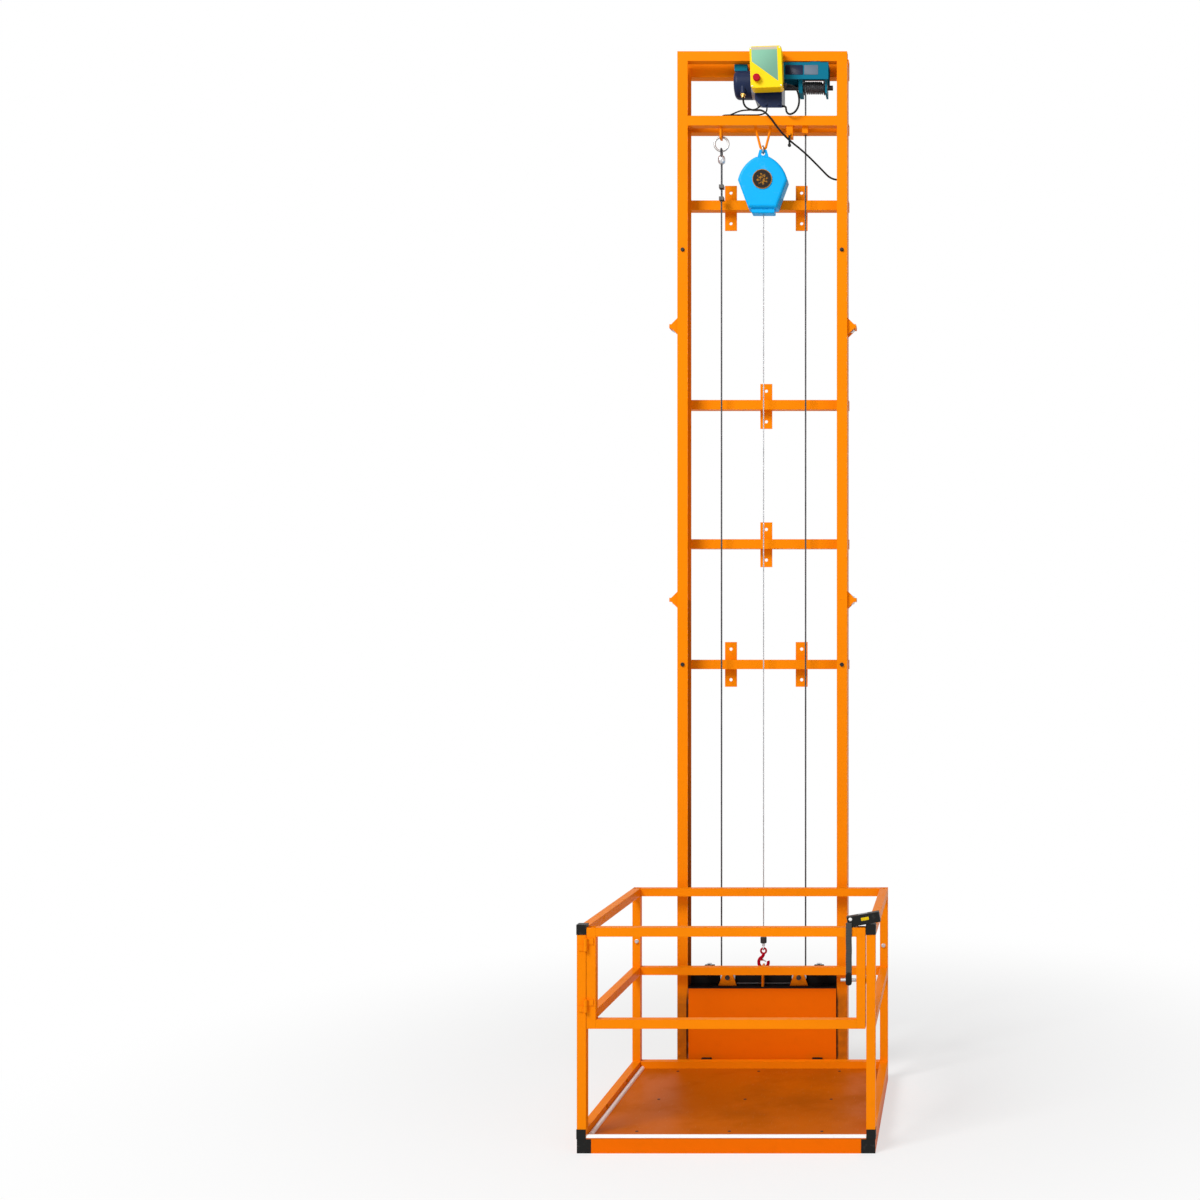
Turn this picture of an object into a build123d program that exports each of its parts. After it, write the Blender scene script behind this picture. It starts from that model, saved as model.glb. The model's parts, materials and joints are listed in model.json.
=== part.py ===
from build123d import *
import math
import os

os.makedirs("parts", exist_ok=True)

# All sizes are millimetres. X runs to the right seen from the front, Y towards the wall, Z up.
# The origin is the middle of the mast's base plate, on the floor.

# Fits shared by the whole lift
weld_gap = 0.3
pin_clearance = 0.05
side_clearance = 0.4
rope_clearance = 0.3
head_flats_ratio = 1.6
head_height_ratio = 0.65
nut_height_ratio = 0.8

# Mast: channel uprights in three lengths
mast_width = 706.0
mast_height = 4265.0
lower_length = 1985.0
middle_length = 1140.0
channel_flange = 43.0
channel_depth = 80.0
channel_wall = 5.0
base_thickness = 8.0
base_hole_spacing = 400.0
base_hole_diameter = 14.0

# Splice ears on the outside of the uprights
ear_reach = 36.0
ear_depth = 56.0
ear_thickness = 8.0
gusset_thickness = 6.0
gusset_side = 28.0
splice_bolt_diameter = 12.0
bolt_hole_clearance = 0.5
splice_bolt_inset = 17.0

# Beams of the mast
beam_side = 40.0
beam_wall = 2.5
front_beam_depth = 34.0
head_rear_height = 75.0
hoist_beam_drop = 268.0
wall_beam_drops = (2530.0, 2022.0, 1435.0, 594.0)
wall_plate_columns = ((-150.0, 150.0), (0.0,), (0.0,), (-150.0, 150.0))
wall_plate_width = 50.0
wall_plate_height = 190.0
wall_plate_thickness = 6.0
wall_hole_spacing = 130.0
wall_hole_diameter = 14.0

# Hoist rope and drum
rope_diameter = 7.0
rope_span = 352.0
drum_core_diameter = 37.0
drum_flange_diameter = 57.0
drum_flange_thickness = 4.0
drum_turns = 9
drum_turn_pitch = 7.8
drum_end_margin = 4.2
winding_points = 48
winding_near_share = 0.625
drum_axis_drop = 128.0
drum_shaft_diameter = 20.0
drum_shaft_overhang = 22.0

# Hoist frame, motor and gearbox
hoist_frame_left = -30.0
hoist_frame_width = 72.0
hoist_frame_height = 70.0
hoist_frame_wall = 4.0
hoist_pad_thickness = 4.0
hoist_leg_thickness = 8.0
hoist_thick_leg = 16.0
hoist_leg_gap = 4.0
hoist_frame_end = 8.0
hoist_leg_width = 66.0
hoist_leg_drop = 34.0
hoist_drum_window = 22.0
hoist_bolt_diameter = 10.0
hoist_bolt_columns = (40.0, 220.0)
bearing_width = 10.0
bearing_outer_diameter = 32.0
gearbox_right = 82.0
gearbox_bottom_drop = 236.0
gearbox_front = -42.0
gearbox_back = 62.0
gearbox_slant = 34.0
gearbox_underside_rise = 44.0
gearbox_wall = 6.0
wheel_diameter = 32.0
wheel_thickness = 12.0
wheel_gap = 1.5
motor_diameter = 114.0
motor_left = -120.0
motor_axis_y = 4.0
motor_axis_drop = 125.0
motor_edge_radius = 18.0
motor_cap_width = 54.0
motor_cap_depth = 38.0
motor_cap_top_drop = 44.0
motor_gland_x = -80.0
motor_gland_y = -36.0
motor_gland_rise = 6.0
motor_boss_diameter = 26.0

# Control box
box_width = 132.0
box_height = 172.0
box_depth = 36.0
cover_depth = 14.0
box_wall = 3.0
box_corner = 12.0
box_tilt = 2.0
box_middle_x = 25.0
box_middle_drop = 92.0
bracket_thickness = 16.0
bracket_width = 60.0
stop_from_left = 27.0
stop_from_bottom = 38.0
stop_head_diameter = 30.0
stop_head_height = 11.0
stop_head_edge = 3.6
stop_stem_diameter = 14.0
stop_travel = 4.0
stop_collar_diameter = 36.0
stop_collar_height = 3.0

# Electric leads
lead_diameter = 8.0
thin_lead_diameter = 6.0
gland_diameter = 16.0
gland_length = 14.0
gland_hex = 20.0
gland_hex_length = 5.0
lead_run_share = 0.45
inlet_width = 34.0
inlet_depth = 34.0
inlet_height = 46.0
inlet_drop = 521.0
loop_lead_start = 18.0
thin_lead_start = 17.0
thin_lead_front = -15.0
thin_lead_end = -28.0

# Limit switch and rope guide under the hoist beam
limit_middle_x = 113.0
limit_width = 26.0
limit_depth = 30.0
limit_height = 48.0
lever_length = 46.0
lever_thickness = 4.0
lever_pin_diameter = 6.0
lever_pin_head_diameter = 12.0
lever_hub_diameter = 14.0
lever_roller_diameter = 14.0
guide_width = 24.0
guide_depth = 38.0
guide_back = 12.0
guide_height = 26.0
guide_bore_diameter = 12.0

# Fixed end of the hoist rope
anchor_thickness = 8.0
anchor_width = 36.0
anchor_hole_diameter = 18.0
anchor_hole_drop = 31.0
anchor_back = 10.0
ring_seat_gap = 0.8
ring_mean_radius = 29.0
ring_wire_diameter = 9.0
loop_radius = 15.0
loop_neck = 46.0
tail_spacing = 8.0
tail_length = 190.0
dead_end_length = 250.0
clip_drops = (150.0, 200.0)
clip_height = 14.0
clip_wall = 6.0

# Fall arrester
arrester_beam_gap = 127.0
arrester_half_top = 28.0
arrester_half_width = 103.0
arrester_widest_drop = 96.0
arrester_half_bottom = 60.0
arrester_height = 212.0
arrester_depth = 76.0
arrester_wall = 4.0
arrester_edge_radius = 12.0
arrester_bulge = 10.0
arrester_ear_rise = 8.0
arrester_ear_half_base = 26.0
arrester_ear_half_top = 15.0
nozzle_width = 96.0
nozzle_depth = 46.0
nozzle_height = 20.0
nozzle_edge = 6.0
reel_diameter = 128.0
reel_width = 56.0
reel_axle_diameter = 16.0
cable_diameter = 5.0
badge_diameter = 82.0
badge_thickness = 3.0
hanger_half_span = 32.0
hanger_rod_diameter = 10.0
hanger_ring_radius = 14.0
hanger_ring_wire = 8.0
hanger_ring_hole = 16.0
hanger_ring_gap = 1.2
hanger_foot_inset = 1.0

# Carriage
plate_half_width = 307.0
plate_thickness = 5.0
plate_bottom = 50.0
plate_top = 368.0
side_bar_width = 40.0
side_bar_depth = 58.0
shelf_thickness = 6.0
crossbar_depth = 28.0
crossbar_height = 48.0
crossbar_half_length = 305.0
roller_diameter = 68.0
roller_width = 26.0
roller_axle_diameter = 16.0
roller_collar_diameter = 26.0
roller_collar_length = 3.0
roller_inset = 6.0
roller_edge = 2.0
roller_heights = (98.0, 326.0)
pulley_pitch_radius = 27.0
pulley_width = 12.0
pulley_rim_height = 3.5
pulley_side_gap = 2.0
pulley_axle_diameter = 12.0
pulley_head_diameter = 20.0
pulley_head_length = 4.0
rope_shelf_gap = 3.0
lug_thickness = 5.0
lug_base = 76.0
lug_top = 36.0
lug_above_axle = 22.0

# Safety hook on the arrester's cable
hook_lug_thickness = 8.0
hook_lug_foot = 26.0
hook_lug_hole_diameter = 24.0
hook_lug_hole_rise = 70.0
hook_lug_ligament = 4.0
hook_lug_half_head = 16.0
hook_wire_diameter = 13.0
hook_bowl_radius = 20.0
hook_bowl_gap = 2.5
hook_tip_angle = 20.0
hook_neck_rise = 4.0
hook_bend_angle = 60.0
hook_eye_radius = 11.0
hook_eye_wire = 8.0
latch_thickness = 3.0
latch_width = 9.0
latch_pin_diameter = 4.0
latch_hub_diameter = 7.0
latch_pivot = (-4.0, 13.0)
latch_tip = (10.6, 5.4)
latch_ear = 2.0
latch_ear_reach = 12.0
latch_ear_height = 7.0
swivel_diameter = 12.0
swivel_height = 12.0
swivel_ring_radius = 8.0
swivel_ring_wire = 5.0
stopper_diameter = 26.0
stopper_height = 26.0
stopper_edge = 3.6

# Cage
cage_width = 1050.0
cage_depth = 860.0
cage_height = 794.0
cage_mast_gap = 30.0
base_tube = 50.0
base_tube_wall = 2.5
cage_tube = 32.0
cage_tube_wall = 2.0
mid_rail_bottom = 438.0
floor_thickness = 4.0
floor_corner_gap = 1.0
cap_wall = 1.5
cap_height = 32.0
foot_cap_height = 34.0
plug_thickness = 5.0
post_rise = 7.0
cap_top = 3.5
joist_from_front = 430.0
cage_bolt_diameter = 12.0
bracket_column = 230.0
cage_bracket_width = 40.0
cage_bolt_entry = 6.0
cage_bolt_height = 68.0
cage_arm_height = 30.0

# Gate
gate_side_gap = 2.0
gate_latch_gap = 3.0
hinge_diameter = 14.0
hinge_pin_diameter = 7.0
hinge_knuckle = 22.0
hinge_heights = (520.0, 735.0)
hinge_leaf = 26.0
hinge_leaf_thickness = 3.0
bolt_rod_diameter = 12.0
bolt_rod_length = 90.0
bolt_travel = 34.0
bolt_height = 600.0
bolt_guide_side = 24.0
bolt_knob_diameter = 10.0
bolt_knob_length = 22.0

# Handset on the gate's top rail
handset_length = 116.0
handset_width = 32.0
handset_height = 36.0
handset_tilt = 10.0
handset_overhang = 64.0
handset_edge = 6.0
rocker_length = 34.0
rocker_width = 16.0
rocker_height = 7.0
rocker_pin_diameter = 4.0
rocker_swing_gap = 1.0
rocker_pin_seat = 2.0
strap_width = 22.0
strap_thickness = 4.0
strap_overhang = 8.0
strap_rise = 18.0
strap_length = 175.0
strap_weight_length = 46.0
strap_weight_thickness = 11.0

# Places worked out from the driving dimensions
half_mast = mast_width / 2
half_depth = channel_depth / 2
channel_mouth = half_mast - channel_flange
channel_web = half_mast - channel_wall
beam_back = half_depth + beam_side
front_beam_back = front_beam_depth - half_depth
front_beam_middle = front_beam_depth / 2 - half_depth
wall_plane = beam_back + wall_plate_thickness
upright_top = mast_height - beam_side
splice_levels = (lower_length, lower_length + middle_length)
rope_x = rope_span / 2
rope_r = rope_diameter / 2
winding_radius = drum_core_diameter / 2 + rope_clearance + rope_r
drum_z = mast_height - drum_axis_drop
drum_y = winding_radius
drum_left = rope_x - drum_end_margin
drum_right = drum_left + 2 * drum_end_margin + drum_turns * drum_turn_pitch
hoist_frame_top = upright_top - hoist_pad_thickness
hoist_frame_bottom = hoist_frame_top - hoist_frame_height
leg_left = drum_left - drum_flange_thickness - hoist_leg_gap - hoist_thick_leg
leg_right = drum_right + drum_flange_thickness + hoist_leg_gap
hoist_frame_right = leg_right + hoist_leg_thickness + hoist_frame_end
hoist_legs = ((leg_left, hoist_thick_leg), (leg_right, hoist_leg_thickness))
hoist_beam_top = mast_height - hoist_beam_drop
hoist_beam_bottom = hoist_beam_top - beam_side
wall_beam_tops = [mast_height - drop for drop in wall_beam_drops]
inlet_middle_z = mast_height - inlet_drop
arrester_top = hoist_beam_bottom - arrester_beam_gap
arrester_middle_z = arrester_top - arrester_widest_drop
arrester_bottom = arrester_top - arrester_height
nozzle_bottom = arrester_bottom - nozzle_height
shelf_top = plate_top + shelf_thickness
pulley_z = shelf_top + rope_shelf_gap + rope_r + pulley_pitch_radius
pulley_x = rope_x - pulley_pitch_radius
side_bar_outer = plate_half_width
side_bar_inner = side_bar_outer - side_bar_width
side_bar_front = -half_depth + plate_thickness
crossbar_front = pulley_width / 2 + pulley_side_gap
crossbar_middle = crossbar_front + crossbar_depth / 2
crossbar_top = shelf_top + crossbar_height
half_cage = cage_width / 2
cage_back = -half_depth - cage_mast_gap
cage_front = cage_back - cage_depth
floor_top = base_tube + floor_thickness
post_inner = half_cage - cage_tube
rear_post_front = cage_back - cage_tube
front_post_back = cage_front + cage_tube
top_rail_bottom = cage_height - cage_tube


def block(x, y, z, mode=Mode.ADD):
    """A box between two corners, each axis given as a (low, high) pair."""
    middle = tuple((low + high) / 2 for low, high in (x, y, z))
    with Locations(middle):
        Box(x[1] - x[0], y[1] - y[0], z[1] - z[0], mode=mode)


def tube(x, y, z, wall, along):
    """A square tube between two corners, open at both ends of the axis it runs along."""
    block(x, y, z)
    inner = [(low + wall, high - wall) for low, high in (x, y, z)]
    inner["XYZ".index(along)] = (x, y, z)["XYZ".index(along)]
    block(*inner, mode=Mode.SUBTRACT)


def rod(start, axis, radius, length, mode=Mode.ADD):
    """A round bar from a start point along an axis direction."""
    with BuildSketch(Plane(origin=start, z_dir=axis)) as section:
        Circle(radius)
    extrude(section.sketch, amount=length, mode=mode)


def hex_bar(start, axis, across_flats, length):
    """A hexagonal head or nut from a start point along an axis direction."""
    with BuildSketch(Plane(origin=start, z_dir=axis)) as section:
        RegularPolygon(across_flats / 2, 6, major_radius=False)
    extrude(section.sketch, amount=length)


def save(builder, name):
    """Name a finished piece and write it out."""
    builder.part.label = name
    export_step(builder.part, f"parts/{name}.step")


# Mast uprights: each is a channel open to the middle, with splice ears welded to its web
def upright(side, bottom, top, ear_levels):
    """One channel upright on the given side, with a splice ear at each listed level."""
    outer = sorted((side * half_mast, side * channel_mouth))
    hollow = sorted((side * channel_web, side * channel_mouth))
    inside = (-half_depth + channel_wall, half_depth - channel_wall)
    block(outer, (-half_depth, half_depth), (bottom, top))
    block(hollow, inside, (bottom, top), mode=Mode.SUBTRACT)
    for level in ear_levels:
        inward = 1 if level == bottom else -1
        ear = sorted((side * half_mast, side * (half_mast + ear_reach)))
        thick = sorted((level, level + inward * ear_thickness))
        block(ear, (-ear_depth / 2, ear_depth / 2), thick)
        hole = (side * (half_mast + splice_bolt_inset), 0, level)
        bolt_hole = splice_bolt_diameter / 2 + bolt_hole_clearance
        rod(hole, (0, 0, inward), bolt_hole, ear_thickness, Mode.SUBTRACT)
        for edge in (-1, 1):
            gusset_middle = edge * (ear_depth - gusset_thickness) / 2
            with BuildSketch(Plane.XZ.offset(-gusset_middle - gusset_thickness / 2)) as gusset:
                with BuildLine():
                    Polyline(
                        (side * half_mast, level + inward * ear_thickness),
                        (side * (half_mast + gusset_side), level + inward * ear_thickness),
                        (side * half_mast, level + inward * (ear_thickness + gusset_side)),
                        close=True,
                    )
                make_face()
            extrude(gusset.sketch, amount=gusset_thickness)


with BuildPart() as lower_uprights:
    for side in (-1, 1):
        upright(side, base_thickness, splice_levels[0], (splice_levels[0],))
save(lower_uprights, "lower_uprights")

with BuildPart() as middle_uprights:
    for side in (-1, 1):
        upright(side, splice_levels[0], splice_levels[1], splice_levels)
save(middle_uprights, "middle_uprights")

with BuildPart() as upper_uprights:
    for side in (-1, 1):
        upright(side, splice_levels[1], upright_top, (splice_levels[1],))
save(upper_uprights, "upper_uprights")

# Base plate under both uprights, with two floor bolt holes
with BuildPart() as base_plate:
    block((-half_mast, half_mast), (-half_depth, half_depth), (0, base_thickness))
    for side in (-1, 1):
        hole = (side * base_hole_spacing / 2, 0, 0)
        rod(hole, (0, 0, 1), base_hole_diameter / 2, base_thickness, Mode.SUBTRACT)
save(base_plate, "base_plate")

# Head beams: one over the uprights at the front, a deeper one behind them
with BuildPart() as head_beams:
    tube((-half_mast, half_mast), (-half_depth, front_beam_back), (upright_top, mast_height), beam_wall, "X")
    rear_bottom = mast_height - head_rear_height
    tube((-half_mast, half_mast), (half_depth, beam_back), (rear_bottom, mast_height), beam_wall, "X")
    for x in hoist_bolt_columns:
        hole = (x, front_beam_middle, upright_top)
        rod(hole, (0, 0, 1), hoist_bolt_diameter / 2 + bolt_hole_clearance, beam_wall, Mode.SUBTRACT)
    bracket_x = (box_middle_x - bracket_width / 2, box_middle_x + bracket_width / 2)
    block(bracket_x, (-half_depth - bracket_thickness, -half_depth), (upright_top, mast_height))
save(head_beams, "head_beams")

# Hoist beams: the lower pair that carries the arrester and the rope's fixed end
with BuildPart() as hoist_beams:
    level = (hoist_beam_bottom, hoist_beam_top)
    tube((-channel_mouth, channel_mouth), (-half_depth, front_beam_back), level, beam_wall, "X")
    tube((-half_mast, half_mast), (half_depth, beam_back), level, beam_wall, "X")
save(hoist_beams, "hoist_beams")

# Wall beams behind the uprights, with the plates that bolt them to the wall
with BuildPart() as wall_beams:
    for top in wall_beam_tops:
        tube((-half_mast, half_mast), (half_depth, beam_back), (top - beam_side, top), beam_wall, "X")
    for top, columns in zip(wall_beam_tops, wall_plate_columns):
        middle = top - beam_side / 2
        for x in columns:
            across = (x - wall_plate_width / 2, x + wall_plate_width / 2)
            upright_span = (middle - wall_plate_height / 2, middle + wall_plate_height / 2)
            block(across, (beam_back, wall_plane), upright_span)
            for end in (-1, 1):
                hole = (x, beam_back, middle + end * wall_hole_spacing / 2)
                rod(hole, (0, 1, 0), wall_hole_diameter / 2, wall_plate_thickness, Mode.SUBTRACT)
save(wall_beams, "wall_beams")

# Hoist frame: an inverted channel with two legs that carry the drum, and pads under the head beam
with BuildPart() as hoist_frame:
    half_frame = hoist_frame_width / 2
    frame_x = (hoist_frame_left, hoist_frame_right)
    block(frame_x, (-half_frame, half_frame), (hoist_frame_bottom, hoist_frame_top))
    inside_y = (-half_frame + hoist_frame_wall, half_frame - hoist_frame_wall)
    inside_top = hoist_frame_top - hoist_frame_wall
    block(frame_x, inside_y, (hoist_frame_bottom, inside_top), mode=Mode.SUBTRACT)
    for left, thickness in hoist_legs:
        leg_x = (left, left + thickness)
        leg_y = (drum_y - hoist_leg_width / 2, drum_y + hoist_leg_width / 2)
        block(leg_x, leg_y, (drum_z - hoist_leg_drop, hoist_frame_bottom))
        block(leg_x, inside_y, (hoist_frame_bottom, inside_top))
        seat = (left, drum_y, drum_z)
        rod(seat, (1, 0, 0), bearing_outer_diameter / 2, thickness, Mode.SUBTRACT)
    window_z = (hoist_frame_bottom, hoist_frame_bottom + hoist_drum_window)
    block((leg_left + hoist_thick_leg, leg_right), (inside_y[1], half_frame), window_z, mode=Mode.SUBTRACT)
    for x in hoist_bolt_columns:
        pad_x = (x - beam_side / 2, x + beam_side / 2)
        block(pad_x, (-half_frame, front_beam_back), (hoist_frame_top, upright_top))
        hole = (x, front_beam_middle, inside_top)
        hole_depth = upright_top - inside_top
        rod(hole, (0, 0, 1), hoist_bolt_diameter / 2 + bolt_hole_clearance, hole_depth, Mode.SUBTRACT)
save(hoist_frame, "hoist_frame")


# Bolts of the mast: through the splice ears, and through the front head beam into the hoist frame
def bolt(start, axis, diameter, grip):
    """A bolt from under its head along an axis, with its nut at the end of the grip."""
    hex_bar(start, Vector(*axis) * -1, diameter * head_flats_ratio, diameter * head_height_ratio)
    rod(start, axis, diameter / 2, grip + diameter)
    nut = Vector(*start) + Vector(*axis) * grip
    hex_bar(nut, axis, diameter * head_flats_ratio, diameter * nut_height_ratio)


with BuildPart() as mast_bolts:
    for level in splice_levels:
        for side in (-1, 1):
            head = (side * (half_mast + splice_bolt_inset), 0, level + ear_thickness)
            bolt(head, (0, 0, -1), splice_bolt_diameter, 2 * ear_thickness)
    for x in hoist_bolt_columns:
        head = (x, front_beam_middle, inside_top)
        bolt(head, (0, 0, 1), hoist_bolt_diameter, upright_top + beam_wall - inside_top)
save(mast_bolts, "mast_bolts")

# Bearings in the hoist's legs
with BuildPart() as drum_bearings:
    for left, thickness in hoist_legs:
        start = left + (thickness - bearing_width) / 2
        rod((start, drum_y, drum_z), (1, 0, 0), bearing_outer_diameter / 2 - pin_clearance, bearing_width)
        bore = drum_shaft_diameter / 2 + pin_clearance
        rod((start, drum_y, drum_z), (1, 0, 0), bore, bearing_width, Mode.SUBTRACT)
save(drum_bearings, "drum_bearings")

# Gearbox housing with a slanted corner and a rising underside, hollow around the output wheel
gearbox_left = hoist_frame_left
gearbox_bottom = mast_height - gearbox_bottom_drop
underside_slope = gearbox_underside_rise / (gearbox_back - gearbox_front)
shaft_left = gearbox_right - gearbox_wall - 2 * wheel_thickness
with BuildPart() as gearbox_housing:
    with BuildSketch(Plane.XZ.offset(-gearbox_back)):
        with BuildLine():
            Polyline(
                (gearbox_left, hoist_frame_bottom),
                (gearbox_left, gearbox_bottom + gearbox_slant),
                (gearbox_left + gearbox_slant, gearbox_bottom),
                (gearbox_right, gearbox_bottom),
                (gearbox_right, hoist_frame_bottom),
                close=True,
            )
        make_face()
    extrude(amount=gearbox_back - gearbox_front)
    with BuildSketch(Plane.YZ.offset(gearbox_left)) as wedge:
        with BuildLine():
            Polyline(
                (gearbox_front, gearbox_bottom),
                (gearbox_back, gearbox_bottom),
                (gearbox_back, gearbox_bottom + gearbox_underside_rise),
                close=True,
            )
        make_face()
    extrude(wedge.sketch, amount=gearbox_right - gearbox_left, mode=Mode.SUBTRACT)
    hollow_x = (gearbox_left + gearbox_wall, gearbox_right - gearbox_wall)
    hollow_y = (gearbox_front + gearbox_wall, gearbox_back - gearbox_wall)
    hollow_bottom = gearbox_bottom + gearbox_underside_rise + gearbox_wall
    block(hollow_x, hollow_y, (hollow_bottom, hoist_frame_bottom - gearbox_wall), mode=Mode.SUBTRACT)
    shaft_hole = (shaft_left, drum_y, drum_z)
    shaft_room = drum_shaft_diameter / 2 + pin_clearance
    rod(shaft_hole, (1, 0, 0), shaft_room, gearbox_right - shaft_left, Mode.SUBTRACT)
    wheel_slot = (shaft_left - wheel_gap, drum_y, drum_z)
    rod(wheel_slot, (1, 0, 0), wheel_diameter / 2 + wheel_gap, wheel_thickness + 2 * wheel_gap, Mode.SUBTRACT)
save(gearbox_housing, "gearbox_housing")

# Motor: a round sealed unit beside the gearbox
motor_z = mast_height - motor_axis_drop
motor_r = motor_diameter / 2
motor_gland_face = Vector(motor_gland_x, motor_gland_y, motor_z - motor_r + motor_gland_rise)
with BuildPart() as hoist_motor:
    rod((motor_left, motor_axis_y, motor_z), (1, 0, 0), motor_r, gearbox_left - motor_left)
    fillet(hoist_motor.edges().group_by(Axis.X)[0], motor_edge_radius)
    rod(motor_gland_face, (0, 0, 1), motor_boss_diameter / 2, motor_r)
save(hoist_motor, "hoist_motor")

# Cap that sits on the motor's free end
with BuildPart() as motor_cap:
    cap_x = (motor_left, motor_left + motor_cap_width)
    cap_y = (motor_axis_y - motor_cap_depth / 2, motor_axis_y + motor_cap_depth / 2)
    block(cap_x, cap_y, (motor_z, mast_height - motor_cap_top_drop))
    reach = gearbox_left - motor_left
    rod((motor_left, motor_axis_y, motor_z), (1, 0, 0), motor_r + weld_gap, reach, Mode.SUBTRACT)
save(motor_cap, "motor_cap")

# Rope drum on its shaft, with the output wheel inside the gearbox
with BuildPart() as rope_drum:
    rod((drum_left, drum_y, drum_z), (1, 0, 0), drum_core_diameter / 2, drum_right - drum_left)
    for left in (drum_left - drum_flange_thickness, drum_right):
        rod((left, drum_y, drum_z), (1, 0, 0), drum_flange_diameter / 2, drum_flange_thickness)
    shaft_right = leg_right + hoist_leg_thickness + drum_shaft_overhang
    rod((shaft_left, drum_y, drum_z), (1, 0, 0), drum_shaft_diameter / 2, shaft_right - shaft_left)
    rod((shaft_left, drum_y, drum_z), (1, 0, 0), wheel_diameter / 2, wheel_thickness)
save(rope_drum, "rope_drum")


# Rope winding: one unbroken tube, a helix of quarter turns each made of two arcs
def winding_point(turn):
    """Middle of the rope after a number of turns, counted from where it leaves the drum."""
    angle = 2 * math.pi * turn
    y = drum_y - winding_radius * math.cos(angle)
    z = drum_z + winding_radius * math.sin(angle)
    return Vector(rope_x + drum_turn_pitch * turn, y, z)


def winding_direction(turn):
    """Direction of the rope after a number of turns."""
    angle = 2 * math.pi * turn
    around = 2 * math.pi * winding_radius
    return Vector(drum_turn_pitch, around * math.sin(angle), around * math.cos(angle)).normalized()


def quarter_turn(start, end, leaving, arriving):
    """Two tangent arcs from one point and direction to the next."""
    chord = end - start
    both = leaving + arriving
    a = 2 * (1 - leaving.dot(arriving))
    b = 2 * chord.dot(both)
    reach = (-b + math.sqrt(b * b + 4 * a * chord.dot(chord))) / (2 * a)
    joint = (start + end + (leaving - arriving) * reach) * 0.5
    TangentArc(start, joint, tangent=leaving)
    TangentArc(joint, end, tangent=arriving * -1, tangent_from_first=False)


quarters = 4 * drum_turns
with BuildPart() as rope_winding:
    with BuildLine() as winding_line:
        first = winding_point(0)
        heading = winding_direction(0)
        Line(first - heading * rope_diameter, first)
        for quarter in range(quarters):
            a = quarter / 4
            b = (quarter + 1) / 4
            quarter_turn(winding_point(a), winding_point(b), winding_direction(a), winding_direction(b))
        last = winding_point(drum_turns)
        Line(last, last + winding_direction(drum_turns) * rope_diameter)
    with BuildSketch(Plane(origin=winding_line.line @ 0, z_dir=winding_line.line % 0)):
        Circle(rope_r)
    sweep()
save(rope_winding, "rope_winding")

samples = [winding_point(i / winding_points) for i in range(winding_points * drum_turns + 1)]
near_points = int(winding_points * winding_near_share)
gaps = [(p - q).length for i, p in enumerate(samples) for q in samples[i + near_points:]]
print("winding gap to itself", round(min(gaps) - rope_diameter, 2))
section_area = math.pi * rope_r ** 2
plain_volume = section_area * winding_line.wire().length
print("winding volume share", round(rope_winding.part.volume / plain_volume, 4))

# Control box: a tilted shell with its cover, hung on a bracket in front of the head beam
tilt = math.radians(box_tilt)
box_origin = (box_middle_x, -half_depth - bracket_thickness, mast_height - box_middle_drop)
box_plane = Plane(origin=box_origin, x_dir=(math.cos(tilt), 0, math.sin(tilt)), z_dir=(0, -1, 0))
stop_spot = (stop_from_left - box_width / 2, stop_from_bottom - box_height / 2)
gland_spot = (box_width / 2, -box_height / 2 + gland_hex)
with BuildPart() as control_box:
    with BuildSketch(box_plane):
        RectangleRounded(box_width, box_height, box_corner)
    extrude(amount=box_depth)
    with BuildSketch(box_plane.offset(box_wall)):
        RectangleRounded(box_width - 2 * box_wall, box_height - 2 * box_wall, box_corner - box_wall)
    extrude(amount=box_depth - box_wall, mode=Mode.SUBTRACT)
save(control_box, "control_box")

with BuildPart() as control_cover:
    with BuildSketch(box_plane.offset(box_depth)):
        RectangleRounded(box_width, box_height, box_corner)
    extrude(amount=cover_depth)
    fillet(control_cover.faces().sort_by(Axis.Y)[0].edges(), box_wall)
    with BuildSketch(box_plane.offset(box_depth)):
        RectangleRounded(box_width - 2 * box_wall, box_height - 2 * box_wall, box_corner - box_wall)
    extrude(amount=cover_depth - box_wall, mode=Mode.SUBTRACT)
    with BuildSketch(box_plane.offset(box_depth + cover_depth)):
        with Locations(stop_spot):
            Circle(stop_collar_diameter / 2)
    extrude(amount=stop_collar_height)
    with BuildSketch(box_plane.offset(box_depth + cover_depth - box_wall)):
        with Locations(stop_spot):
            Circle(stop_stem_diameter / 2 + pin_clearance)
    extrude(amount=box_wall + stop_collar_height, mode=Mode.SUBTRACT)
save(control_cover, "control_cover")

# Emergency stop button: mushroom head, stem and a retaining flange behind the cover
stem_start = box_depth + cover_depth - box_wall - side_clearance - stop_collar_height
head_start = box_depth + cover_depth + stop_collar_height + stop_travel + side_clearance
with BuildPart() as stop_button:
    with BuildSketch(box_plane.offset(stem_start)):
        with Locations(stop_spot):
            Circle(stop_stem_diameter / 2 + box_wall)
    extrude(amount=stop_collar_height)
    with BuildSketch(box_plane.offset(stem_start)):
        with Locations(stop_spot):
            Circle(stop_stem_diameter / 2)
    extrude(amount=head_start - stem_start)
    with BuildSketch(box_plane.offset(head_start)):
        with Locations(stop_spot):
            Circle(stop_head_diameter / 2)
    extrude(amount=stop_head_height)
    fillet(stop_button.edges().sort_by(Axis.Y)[0], stop_head_edge)
save(stop_button, "stop_button")


# Glands where the leads enter, each a hexagon and a round nose, and the inlet in the right upright
def gland(face, direction):
    """A cable gland standing on a face, with its nose along a direction."""
    hex_bar(face, direction, gland_hex, gland_hex_length)
    nose = Vector(*face) + Vector(*direction) * gland_hex_length
    rod(nose, direction, gland_diameter / 2, gland_length - gland_hex_length)


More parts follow.
